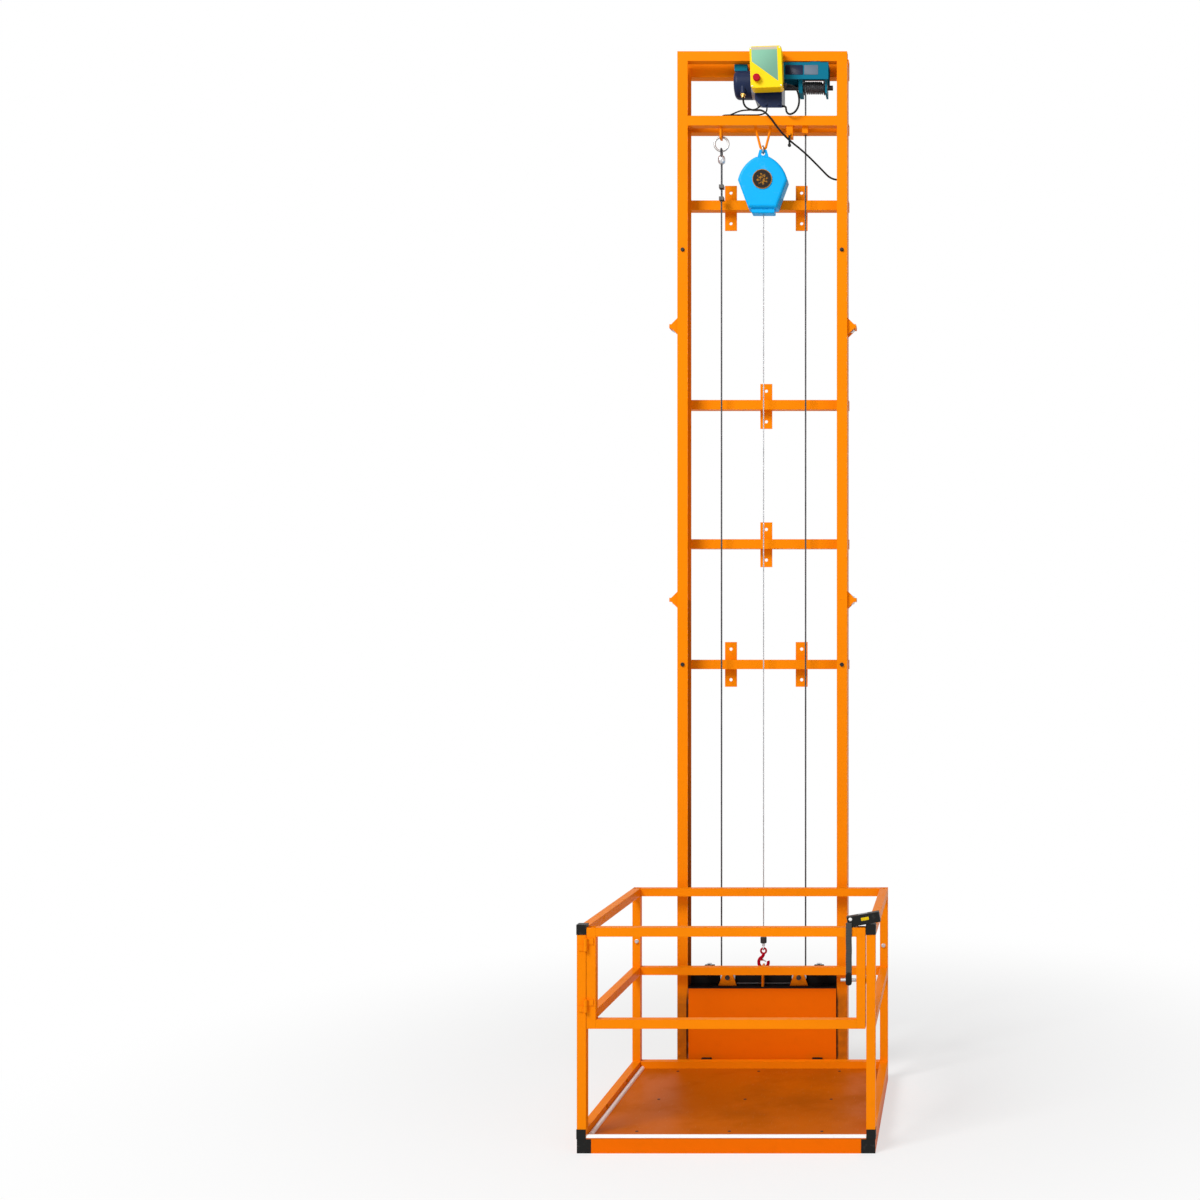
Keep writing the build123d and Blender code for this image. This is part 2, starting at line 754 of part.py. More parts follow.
def gland_end(face, direction):
    """Where a lead meets the end of a gland."""
    return Vector(*face) + Vector(*direction) * gland_length


box_side = box_plane.from_local_coords(Vector(gland_spot[0], gland_spot[1], box_depth / 2))
box_right = box_plane.x_dir
down = Vector(0, 0, -1)
with BuildPart() as cable_glands:
    gland(motor_gland_face, down)
    gland(box_side, box_right)
    inlet_x = (channel_web - inlet_width, channel_web)
    inlet_z = (inlet_middle_z - inlet_height / 2, inlet_middle_z + inlet_height / 2)
    block(inlet_x, (-inlet_depth / 2, inlet_depth / 2), inlet_z)
save(cable_glands, "cable_glands")


# Leads: tubes of straight runs joined by arcs as large as the runs allow
def corner_radii(points):
    """The radius of each corner of a lead's route."""
    radii = []
    for before, corner, after in zip(points, points[1:], points[2:]):
        arriving = corner - before
        leaving = after - corner
        half_turn = math.radians(arriving.get_angle(leaving)) / 2
        radii.append(lead_run_share * min(arriving.length, leaving.length) / math.tan(half_turn))
    return radii


def lead(points, diameter, name):
    """Sweep a lead along its route, and print its radii and its volume's share of section times length."""
    radii = corner_radii(points)
    with BuildLine() as route:
        FilletPolyline(*points, radius=radii)
    with BuildSketch(Plane(origin=points[0], z_dir=points[1] - points[0])) as section:
        Circle(diameter / 2)
    sweep(section.sketch, path=route.wire())
    print(name, "radii", [round(r, 1) for r in radii], "length", round(route.wire().length, 1))


def below_top(x, y, drop):
    """A point of a lead's route, measured down from the top of the mast."""
    return Vector(x, y, mast_height - drop)


power_route = [
    gland_end(motor_gland_face, down),
    below_top(motor_gland_x, motor_gland_y, 212),
    below_top(-70, -38, 231),
    below_top(-52, -41, 243),
    below_top(-28, -46, 248),
    below_top(3, -52, 249),
    below_top(36, -56, 281),
    below_top(64, -56, 322),
    below_top(105, -52, 368),
    below_top(174, -34, 417),
    below_top(241, -20, 481),
    Vector(284, 0, inlet_middle_z),
    Vector(channel_web - inlet_width, 0, inlet_middle_z),
]
with BuildPart() as power_lead:
    lead(power_route, lead_diameter, "power lead")
save(power_lead, "power_lead")

loop_route = [
    gland_end(box_side, box_right),
    gland_end(box_side, box_right) + box_right * loop_lead_start,
    below_top(148, -74, 171),
    below_top(158, -72, 205),
    below_top(156, -70, 239),
    below_top(140, -64, 263),
    below_top(117, -58, 271),
    below_top(103, -50, 259),
    below_top(99, -40, 241),
    below_top(97, -30, 225),
    below_top(gearbox_right, -30, 225),
]
slant_half = gearbox_slant / 2
slant_middle = Vector(gearbox_left + slant_half, thin_lead_front, gearbox_bottom + slant_half)
slant_normal = Vector(-1, 0, -1).normalized()
thin_lead_top = gearbox_bottom + (thin_lead_end - thin_lead_diameter / 2 - gearbox_front) * underside_slope
thin_route = [
    slant_middle,
    slant_middle + slant_normal * thin_lead_start,
    below_top(-50, -18, 236),
    below_top(-90, -18, 237),
    below_top(-126, -16, 251),
    below_top(-150, -14, 261),
    below_top(-165, -17, 264),
    below_top(-168, -27, 264),
    below_top(-157, -35, 264),
    below_top(-126, -36, 264),
    below_top(-44, -36, 264),
    below_top(-12, -34, 263),
    below_top(8, -31, 256),
    below_top(18, thin_lead_end, 244),
    Vector(18, thin_lead_end, thin_lead_top),
]
with BuildPart() as control_leads:
    lead(loop_route, lead_diameter, "loop lead")
    lead(thin_route, thin_lead_diameter, "thin lead")
save(control_leads, "control_leads")

# Limit switch under the front hoist beam, and its swinging lever
limit_y = (-half_depth + channel_wall, -half_depth + channel_wall + limit_depth)
limit_bottom = hoist_beam_bottom - limit_height
lever_z = limit_bottom + lever_hub_diameter / 2 + channel_wall
lever_y = limit_y[0] - side_clearance
with BuildPart() as limit_switch:
    limit_x = (limit_middle_x - limit_width / 2, limit_middle_x + limit_width / 2)
    block(limit_x, limit_y, (limit_bottom, hoist_beam_bottom))
    pin_start = (limit_middle_x, limit_y[0], lever_z)
    pin_reach = lever_thickness + 2 * side_clearance
    rod(pin_start, (0, -1, 0), lever_pin_diameter / 2, pin_reach)
    pin_head = (limit_middle_x, limit_y[0] - pin_reach, lever_z)
    rod(pin_head, (0, -1, 0), lever_pin_head_diameter / 2, lever_thickness / 2)
save(limit_switch, "limit_switch")

with BuildPart() as limit_lever:
    rod((limit_middle_x, lever_y, lever_z), (0, -1, 0), lever_hub_diameter / 2, lever_thickness)
    arm_x = (limit_middle_x - lever_thickness, limit_middle_x + lever_thickness)
    block(arm_x, (lever_y - lever_thickness, lever_y), (lever_z - lever_length, lever_z))
    tip = (limit_middle_x, lever_y, lever_z - lever_length)
    rod(tip, (0, -1, 0), lever_roller_diameter / 2, lever_thickness)
    hub = (limit_middle_x, lever_y, lever_z)
    rod(hub, (0, -1, 0), lever_pin_diameter / 2 + pin_clearance, lever_thickness, Mode.SUBTRACT)
save(limit_lever, "limit_lever")

# Lugs under the front hoist beam: one holds the rope's fixed end, one guides the hauling rope
anchor_hole_z = hoist_beam_bottom - anchor_hole_drop
ring_z = anchor_hole_z - anchor_hole_diameter / 2 + ring_wire_diameter / 2 + ring_seat_gap - ring_mean_radius
loop_z = ring_z - ring_mean_radius + ring_wire_diameter / 2 + rope_r + side_clearance - loop_radius
dead_end_z = loop_z - dead_end_length
with BuildPart() as rope_lugs:
    lug_x = (-rope_x - anchor_thickness / 2, -rope_x + anchor_thickness / 2)
    lug_bottom = anchor_hole_z - anchor_hole_diameter
    block(lug_x, (anchor_back - anchor_width, anchor_back), (lug_bottom, hoist_beam_bottom))
    fillet(rope_lugs.edges().filter_by(Axis.X).group_by(Axis.Z)[0], anchor_hole_diameter / 2)
    hole = (lug_x[0], 0, anchor_hole_z)
    rod(hole, (1, 0, 0), anchor_hole_diameter / 2, anchor_thickness, Mode.SUBTRACT)
    guide_x = (rope_x - guide_width / 2, rope_x + guide_width / 2)
    guide_bottom = hoist_beam_bottom - guide_height
    block(guide_x, (guide_back - guide_depth, guide_back), (guide_bottom, hoist_beam_bottom))
    hole = (rope_x, 0, guide_bottom)
    rod(hole, (0, 0, 1), guide_bore_diameter / 2, guide_height, Mode.SUBTRACT)
save(rope_lugs, "rope_lugs")

neck_z = loop_z - loop_neck - tail_spacing
shoulder_z = loop_z - loop_radius / 2
loop_turn = loop_radius - weld_gap
with BuildPart() as rope_dead_end:
    with BuildLine(Plane(origin=(-rope_x, 0, 0), x_dir=(0, 1, 0), z_dir=(1, 0, 0))) as loop_line:
        FilletPolyline(
            (0, dead_end_z),
            (0, neck_z),
            (-loop_radius, shoulder_z),
            (-loop_radius, loop_z + loop_radius),
            (loop_radius, loop_z + loop_radius),
            (loop_radius, shoulder_z),
            (tail_spacing, neck_z),
            (tail_spacing, loop_z - tail_length - tail_spacing),
            radius=[loop_neck, loop_neck, loop_turn, loop_turn, loop_neck, loop_neck],
        )
    with BuildSketch(Plane(origin=(-rope_x, 0, dead_end_z))) as rope_section:
        Circle(rope_r)
    sweep(rope_section.sketch, path=loop_line.wire())
save(rope_dead_end, "rope_dead_end")

with BuildPart() as rope_clips:
    clip_half = rope_r + clip_wall
    for drop in clip_drops:
        clip_z = loop_z - drop
        clip_x = (-rope_x - clip_half, -rope_x + clip_half)
        block(clip_x, (-clip_half, tail_spacing + clip_half), (clip_z, clip_z + clip_height))
        for y in (0, tail_spacing):
            bore = (-rope_x, y, clip_z)
            rod(bore, (0, 0, 1), rope_r + pin_clearance, clip_height, Mode.SUBTRACT)
save(rope_clips, "rope_clips")

# Fall arrester: two shells around a reel on its axle, with a badge in front and a nozzle below
shoulder = (arrester_half_top + arrester_half_width) / 2
with BuildSketch(Plane.XZ) as arrester_outline:
    with BuildLine():
        Polyline((0, arrester_top), (arrester_half_top, arrester_top))
        ThreePointArc(
            (arrester_half_top, arrester_top),
            (shoulder + arrester_bulge, (arrester_top + arrester_middle_z) / 2 + arrester_bulge),
            (arrester_half_width, arrester_middle_z),
        )
        Polyline(
            (arrester_half_width, arrester_middle_z),
            (arrester_half_bottom, arrester_bottom),
            (0, arrester_bottom),
            (0, arrester_top),
        )
    make_face()
    mirror(about=Plane.YZ)
with BuildSketch(Plane.XZ) as arrester_cavity:
    add(arrester_outline.sketch)
    offset(amount=-arrester_wall, kind=Kind.INTERSECTION, mode=Mode.REPLACE)

half_arrester = arrester_depth / 2
hanger_y = front_beam_back - hanger_rod_diameter / 2
ear_hole_rise = arrester_ear_rise + hanger_ring_hole / 2
hanger_bottom = arrester_top + ear_hole_rise + hanger_ring_radius + hanger_rod_diameter
ring_drop = hanger_ring_radius - (hanger_rod_diameter + hanger_ring_wire) / 2 - side_clearance
top_ring_z = hanger_bottom - ring_drop
ring_hole_z = top_ring_z - hanger_ring_radius - (hanger_ring_hole - hanger_ring_wire) / 2 + hanger_ring_gap
with BuildPart() as arrester_front_shell:
    extrude(arrester_outline.sketch, amount=half_arrester)
    fillet(arrester_front_shell.faces().sort_by(Axis.Y)[0].edges(), arrester_edge_radius)
    extrude(arrester_cavity.sketch, amount=half_arrester - arrester_wall, mode=Mode.SUBTRACT)
    with BuildSketch(Plane.XZ.offset(-hanger_y - arrester_wall)) as ear:
        with BuildLine():
            Polyline(
                (-arrester_ear_half_base, arrester_top - arrester_wall),
                (arrester_ear_half_base, arrester_top - arrester_wall),
                (arrester_ear_half_top, ring_hole_z + hanger_ring_hole),
                (-arrester_ear_half_top, ring_hole_z + hanger_ring_hole),
                close=True,
            )
        make_face()
    extrude(ear.sketch, amount=2 * arrester_wall)
    hole = (0, hanger_y - arrester_wall, ring_hole_z)
    rod(hole, (0, 1, 0), hanger_ring_hole / 2, 2 * arrester_wall, Mode.SUBTRACT)
    rod((0, -half_arrester, arrester_middle_z), (0, -1, 0), badge_diameter / 2, badge_thickness)
save(arrester_front_shell, "arrester_front_shell")

reel_axle_tip = half_arrester - arrester_wall - side_clearance
with BuildPart() as arrester_rear_shell:
    extrude(arrester_outline.sketch, amount=-half_arrester)
    fillet(arrester_rear_shell.faces().sort_by(Axis.Y)[-1].edges(), arrester_edge_radius)
    extrude(arrester_cavity.sketch, amount=-half_arrester + arrester_wall, mode=Mode.SUBTRACT)
    axle_length = 2 * reel_axle_tip + arrester_wall
    rod((0, -reel_axle_tip, arrester_middle_z), (0, 1, 0), reel_axle_diameter / 2, axle_length)
    nozzle_x = (-nozzle_width / 2, nozzle_width / 2)
    block(nozzle_x, (-nozzle_depth / 2, nozzle_depth / 2), (nozzle_bottom, arrester_bottom))
    fillet(arrester_rear_shell.edges().group_by(Axis.Z)[0], nozzle_edge)
    bore = cable_diameter / 2 + rope_clearance
    rod((0, 0, nozzle_bottom), (0, 0, 1), bore, nozzle_height, Mode.SUBTRACT)
save(arrester_rear_shell, "arrester_rear_shell")

with BuildPart() as arrester_reel:
    rod((0, -reel_width / 2, arrester_middle_z), (0, 1, 0), reel_diameter / 2, reel_width)
    bore = reel_axle_diameter / 2 + pin_clearance
    rod((0, -reel_width / 2, arrester_middle_z), (0, 1, 0), bore, reel_width, Mode.SUBTRACT)
save(arrester_reel, "arrester_reel")

# Bent rod under the front hoist beam that the arrester hangs from
with BuildPart() as arrester_hanger:
    with BuildLine(Plane.XZ.offset(-hanger_y)) as hanger_line:
        FilletPolyline(
            (-hanger_half_span, hoist_beam_bottom),
            (-hanger_rod_diameter, hanger_bottom),
            (hanger_rod_diameter, hanger_bottom),
            (hanger_half_span, hoist_beam_bottom),
            radius=hanger_rod_diameter,
        )
    with BuildSketch(Plane(origin=hanger_line.line @ 0, z_dir=hanger_line.line % 0)) as hanger_section:
        Circle(hanger_rod_diameter / 2)
    sweep(hanger_section.sketch, path=hanger_line.wire())
    split(bisect_by=Plane.XY.offset(hoist_beam_bottom - hanger_rod_diameter / 2), keep=Keep.BOTTOM)
    for side in (-1, 1):
        foot = (side * (hanger_half_span - hanger_foot_inset), hanger_y, hoist_beam_bottom)
        rod(foot, (0, 0, -1), hanger_rod_diameter / 2, hanger_rod_diameter)
save(arrester_hanger, "arrester_hanger")

# Rings: one holds the rope's loop on its lug, one holds the arrester on its hanger
with BuildPart() as hanging_rings:
    with Locations(Location((-rope_x, 0, ring_z), (90, 0, 0))):
        Torus(ring_mean_radius, ring_wire_diameter / 2)
    with Locations(Location((0, hanger_y, top_ring_z), (0, 90, 0))):
        Torus(hanger_ring_radius, hanger_ring_wire / 2)
save(hanging_rings, "hanging_rings")

# Carriage front plate, between the uprights and flush with their fronts
plate_y = (-half_depth, -half_depth + plate_thickness)
with BuildPart() as carriage_plate:
    block((-plate_half_width, plate_half_width), plate_y, (plate_bottom, plate_top))
    for side in (-1, 1):
        hole = (side * bracket_column, plate_y[0], cage_bolt_height)
        rod(hole, (0, 1, 0), cage_bolt_diameter / 2 + bolt_hole_clearance, plate_thickness, Mode.SUBTRACT)
save(carriage_plate, "carriage_plate")

# Carriage frame: side bars for the rollers, a shelf on top and a crossbar for the pulleys
shelf_back = crossbar_front + crossbar_depth
with BuildPart() as carriage_frame:
    for side in (-1, 1):
        bar_x = sorted((side * side_bar_outer, side * side_bar_inner))
        bar_y = (side_bar_front, side_bar_front + side_bar_depth)
        tube(bar_x, bar_y, (plate_bottom, plate_top), beam_wall, "Z")
        for z in roller_heights:
            hole = (side * side_bar_inner, 0, z)
            rod(hole, (side, 0, 0), roller_axle_diameter / 2 + pin_clearance, side_bar_width, Mode.SUBTRACT)
    block((-plate_half_width, plate_half_width), (-half_depth, shelf_back), (plate_top + weld_gap, shelf_top))
    crossbar_x = (-crossbar_half_length, crossbar_half_length)
    crossbar_y = (crossbar_front, crossbar_front + crossbar_depth)
    crossbar_z = (shelf_top + weld_gap, crossbar_top)
    tube(crossbar_x, crossbar_y, crossbar_z, beam_wall, "X")
    for side in (-1, 1):
        hole = (side * pulley_x, crossbar_front, pulley_z)
        rod(hole, (0, 1, 0), pulley_axle_diameter / 2 + pin_clearance, beam_wall, Mode.SUBTRACT)
        hole = (side * bracket_column, crossbar_middle, crossbar_top)
        rod(hole, (0, 0, -1), cage_bolt_diameter / 2 + bolt_hole_clearance, beam_wall, Mode.SUBTRACT)
save(carriage_frame, "carriage_frame")

# Pulley lugs: trapezoid plates on the shelf in front of the pulleys, and the lug for the safety hook
lug_back = -pulley_width / 2 - pulley_side_gap
lug_front = lug_back - lug_thickness
hook_hole_z = shelf_top + hook_lug_hole_rise
hook_lug_top = hook_hole_z + hook_lug_hole_diameter / 2 + hook_lug_ligament
hook_foot_back = -rope_r - rope_shelf_gap
hook_foot_front = hook_foot_back - hook_lug_foot
with BuildPart() as carriage_lugs:
    for side in (-1, 1):
        with BuildSketch(Plane.XZ.offset(-lug_back)) as lug_outline:
            with BuildLine():
                Polyline(
                    (side * pulley_x - lug_base / 2, shelf_top),
                    (side * pulley_x + lug_base / 2, shelf_top),
                    (side * pulley_x + lug_top / 2, pulley_z + lug_above_axle),
                    (side * pulley_x - lug_top / 2, pulley_z + lug_above_axle),
                    close=True,
                )
            make_face()
        extrude(lug_outline.sketch, amount=lug_thickness)
        hole = (side * pulley_x, lug_front, pulley_z)
        rod(hole, (0, 1, 0), pulley_axle_diameter / 2 + pin_clearance, lug_thickness, Mode.SUBTRACT)
    with BuildSketch(Plane.YZ.offset(-hook_lug_thickness / 2)) as hook_lug_outline:
        with BuildLine():
            Polyline(
                (hook_foot_front, shelf_top),
                (hook_foot_back, shelf_top),
                (hook_foot_back, hook_hole_z - hook_lug_hole_diameter - hook_lug_ligament),
                (hook_lug_half_head, hook_hole_z - hook_lug_hole_diameter / 2 - hook_lug_ligament),
                (hook_lug_half_head, hook_lug_top),
                (-hook_lug_half_head, hook_lug_top),
                (hook_foot_front, hook_hole_z - hook_lug_hole_diameter / 2),
                close=True,
            )
        make_face()
        with Locations((0, hook_hole_z)):
            Circle(hook_lug_hole_diameter / 2, mode=Mode.SUBTRACT)
    extrude(hook_lug_outline.sketch, amount=hook_lug_thickness)
save(carriage_lugs, "carriage_lugs")

# Axles of the guide rollers and pulleys
roller_outer = channel_web - roller_inset
roller_inner = roller_outer - roller_width
with BuildPart() as carriage_axles:
    for side in (-1, 1):
        for z in roller_heights:
            start = (side * (side_bar_inner - roller_collar_length), 0, z)
            tip = roller_outer + side_clearance
            length = tip - side_bar_inner + roller_collar_length
            rod(start, (side, 0, 0), roller_axle_diameter / 2, length)
            rod(start, (side, 0, 0), roller_collar_diameter / 2, roller_collar_length)
            spacer = roller_inner - side_clearance - side_bar_outer
            rod((side * side_bar_outer, 0, z), (side, 0, 0), roller_collar_diameter / 2, spacer)
            rod((side * tip, 0, z), (side, 0, 0), roller_collar_diameter / 2, roller_collar_length)
        axle_length = crossbar_front + beam_wall - lug_front
        rod((side * pulley_x, lug_front, pulley_z), (0, 1, 0), pulley_axle_diameter / 2, axle_length)
        rod((side * pulley_x, lug_front, pulley_z), (0, -1, 0), pulley_head_diameter / 2, pulley_head_length)
save(carriage_axles, "carriage_axles")

# Guide rollers: a left and a right roller share each axis
for name, z in zip(("lower_rollers", "upper_rollers"), roller_heights):
    with BuildPart() as guide_rollers:
        for side in (-1, 1):
            start = (side * roller_inner, 0, z)
            rod(start, (side, 0, 0), roller_diameter / 2, roller_width)
        chamfer(guide_rollers.edges().filter_by(GeomType.CIRCLE), roller_edge)
        for side in (-1, 1):
            start = (side * roller_inner, 0, z)
            rod(start, (side, 0, 0), roller_axle_diameter / 2 + pin_clearance, roller_width, Mode.SUBTRACT)
    save(guide_rollers, name)

# Rope pulleys with a round groove
groove_radius = rope_r + rope_clearance
for name, side in (("left_pulley", -1), ("right_pulley", 1)):
    middle = (side * pulley_x, 0, pulley_z)
    with BuildPart() as pulley:
        start = (side * pulley_x, -pulley_width / 2, pulley_z)
        rod(start, (0, 1, 0), pulley_pitch_radius + pulley_rim_height, pulley_width)
        with BuildSketch(Plane(origin=middle)) as groove:
            with Locations((pulley_pitch_radius, 0)):
                Circle(groove_radius)
            with Locations((pulley_pitch_radius + pulley_rim_height, 0)):
                Rectangle(2 * pulley_rim_height, 2 * groove_radius)
        revolve(groove.sketch, axis=Axis(middle, (0, 1, 0)), revolution_arc=360, mode=Mode.SUBTRACT)
        bore = pulley_axle_diameter / 2 + pin_clearance
        rod(start, (0, 1, 0), bore, pulley_width, Mode.SUBTRACT)
    save(pulley, name)

# Hoist rope: two tight falls and the run beneath the pulleys that joins them
under_z = pulley_z - pulley_pitch_radius
with BuildPart() as rope_under_run:
    with BuildLine(Plane.XZ) as under_line:
        CenterArc((-pulley_x, pulley_z), pulley_pitch_radius, 180, 90)
        Line((-pulley_x, under_z), (pulley_x, under_z))
        CenterArc((pulley_x, pulley_z), pulley_pitch_radius, 270, 90)
    with BuildSketch(Plane(origin=(-rope_x, 0, pulley_z))) as under_section:
        Circle(rope_r)
    sweep(under_section.sketch, path=under_line.wire())
save(rope_under_run, "rope_under_run")

with BuildPart() as rope_left_fall:
    rod((-rope_x, 0, pulley_z), (0, 0, 1), rope_r, dead_end_z - pulley_z)
save(rope_left_fall, "rope_left_fall")

drum_leave_z = drum_z - rope_diameter - 2 * weld_gap
with BuildPart() as rope_right_fall:
    rod((rope_x, 0, pulley_z), (0, 0, 1), rope_r, drum_leave_z - pulley_z)
save(rope_right_fall, "rope_right_fall")

# Safety hook through its lug, with a spring latch
bowl_z = hook_hole_z + (hook_lug_hole_diameter - hook_wire_diameter) / 2 - hook_bowl_gap + hook_bowl_radius
bend_radius = hook_bowl_radius / 2 / (1 - math.cos(math.radians(hook_bend_angle)))
bend_rise = bend_radius * math.sin(math.radians(hook_bend_angle))
neck_top = bowl_z + hook_neck_rise + 2 * bend_rise
eye_z = neck_top + hook_eye_radius
with BuildPart() as safety_hook:
    with BuildLine(Plane.XZ) as hook_line:
        CenterArc((0, bowl_z), hook_bowl_radius, hook_tip_angle, -180 - hook_tip_angle)
        Line((-hook_bowl_radius, bowl_z), (-hook_bowl_radius, bowl_z + hook_neck_rise))
        first_bend = (-hook_bowl_radius + bend_radius, bowl_z + hook_neck_rise)
        CenterArc(first_bend, bend_radius, 180, -hook_bend_angle)
        CenterArc((-bend_radius, neck_top), bend_radius, -hook_bend_angle, hook_bend_angle)
    with BuildSketch(Plane(origin=hook_line.line @ 0, z_dir=hook_line.line % 0)) as hook_section:
        Circle(hook_wire_diameter / 2)
    sweep(hook_section.sketch, path=hook_line.wire())
    with BuildSketch(Plane(origin=(hook_eye_radius, 0, eye_z))) as eye_section:
        Circle(hook_eye_wire / 2)
    revolve(eye_section.sketch, axis=Axis((0, 0, eye_z), (0, 1, 0)), revolution_arc=360)
    pivot_z = bowl_z + latch_pivot[1]
    ear_x = (latch_pivot[0] - latch_ear_reach, latch_pivot[0] + latch_pin_diameter / 2)
    ear_z = (pivot_z - latch_ear_height / 2, pivot_z + latch_ear_height / 2)
    ear_inner = latch_width / 2 + side_clearance
    for side in (-1, 1):
        block(ear_x, sorted((side * ear_inner, side * (ear_inner + latch_ear))), ear_z)
    pin_end = (latch_pivot[0], -ear_inner - latch_ear, pivot_z)
    rod(pin_end, (0, 1, 0), latch_pin_diameter / 2, 2 * (ear_inner + latch_ear))
save(safety_hook, "safety_hook")


# Cage base frame: side tubes run through, the others fit between them
side_tube_x = (half_cage - base_tube, half_cage)
cross_x = (base_tube - half_cage + weld_gap, half_cage - base_tube - weld_gap)
with BuildPart() as cage_base_frame:
    for side in (-1, 1):
        across = sorted((side * side_tube_x[0], side * side_tube_x[1]))
        tube(across, (cage_front + plug_thickness, cage_back), (0, base_tube), base_tube_wall, "Y")
    joist_front = cage_front + joist_from_front
    for front in (cage_front, joist_front, cage_back - base_tube):
        tube(cross_x, (front, front + base_tube), (0, base_tube), base_tube_wall, "X")
save(cage_base_frame, "cage_base_frame")

with BuildPart() as floor_plate:
    floor_x = (-post_inner + floor_corner_gap, post_inner - floor_corner_gap)
    block(floor_x, (cage_front, rear_post_front - floor_corner_gap), (base_tube, floor_top))
save(floor_plate, "floor_plate")

# Corner posts; the front pair stands a little above the gate
with BuildPart() as cage_posts:
    for side in (-1, 1):
        across = sorted((side * post_inner, side * half_cage))
        front_top = cage_height + post_rise
        tube(across, (cage_front, front_post_back), (base_tube, front_top), cage_tube_wall, "Z")
        tube(across, (rear_post_front, cage_back), (base_tube, cage_height), cage_tube_wall, "Z")
save(cage_posts, "cage_posts")

# Rails: top, middle and toe, on both sides and across the back
with BuildPart() as cage_rails:
    for side in (-1, 1):
        across = sorted((side * post_inner, side * half_cage))
        for bottom, start_gap in ((base_tube, cap_wall), (mid_rail_bottom, 0), (top_rail_bottom, cap_wall)):
            along = (front_post_back + start_gap + weld_gap, rear_post_front - weld_gap)
            tube(across, along, (bottom, bottom + cage_tube), cage_tube_wall, "Y")
    for bottom in (base_tube, mid_rail_bottom, top_rail_bottom):
        across = (-post_inner + weld_gap, post_inner - weld_gap)
        tube(across, (rear_post_front, cage_back), (bottom, bottom + cage_tube), cage_tube_wall, "X")
save(cage_rails, "cage_rails")

# Plastic caps on the front posts and plugs in the base tubes' front ends
with BuildPart() as cage_end_caps:
    for side in (-1, 1):
        post_x = sorted((side * post_inner, side * half_cage))
        wide_x = (post_x[0] - cap_wall, post_x[1] + cap_wall)
        wide_y = (cage_front - cap_wall, front_post_back + cap_wall)
        post_y = (cage_front, front_post_back)
        post_top = cage_height + post_rise
        block(wide_x, wide_y, (post_top - cap_height, post_top + cap_top))
        block(post_x, post_y, (post_top - cap_height, post_top), mode=Mode.SUBTRACT)
        foot_x = sorted((side * (post_inner + weld_gap), side * (half_cage + cap_wall)))
        block(foot_x, wide_y, (base_tube + weld_gap, base_tube + foot_cap_height))
        block(post_x, post_y, (base_tube, base_tube + foot_cap_height), mode=Mode.SUBTRACT)
        plug_x = sorted((side * side_tube_x[0], side * side_tube_x[1]))
        block(plug_x, (cage_front, cage_front + plug_thickness), (0, base_tube))
save(cage_end_caps, "cage_end_caps")

# Brackets that carry the cage: a foot on the carriage plate and an arm on the crossbar, with their bolts
plate_front = -half_depth
arm_top = crossbar_top + cage_arm_height
bolt_hole_radius = cage_bolt_diameter / 2 + bolt_hole_clearance
with BuildPart() as cage_brackets:
    for side in (-1, 1):
        column = side * bracket_column
        across = (column - cage_bracket_width / 2, column + cage_bracket_width / 2)
        block(across, (cage_back, plate_front), (plate_bottom, base_tube + cage_tube))
        block(across, (cage_back, shelf_back), (crossbar_top, arm_top))
        hole = (column, plate_front, cage_bolt_height)
        rod(hole, (0, -1, 0), bolt_hole_radius, cage_mast_gap / 2, Mode.SUBTRACT)
        hole = (column, crossbar_middle, crossbar_top)
        rod(hole, (0, 0, 1), bolt_hole_radius, cage_arm_height, Mode.SUBTRACT)
save(cage_brackets, "cage_brackets")

cage_head_flats = cage_bolt_diameter * head_flats_ratio
cage_head_height = cage_bolt_diameter * head_height_ratio
with BuildPart() as cage_bolts:
    for side in (-1, 1):
        head = (side * bracket_column, plate_front + plate_thickness, cage_bolt_height)
        rod(head, (0, -1, 0), cage_bolt_diameter / 2, plate_thickness + cage_bolt_entry)
        hex_bar(head, (0, 1, 0), cage_head_flats, cage_head_height)
        head = (side * bracket_column, crossbar_middle, arm_top)
        rod(head, (0, 0, -1), cage_bolt_diameter / 2, cage_arm_height + beam_wall)
        hex_bar(head, (0, 0, 1), cage_head_flats, cage_head_height)
save(cage_bolts, "cage_bolts")

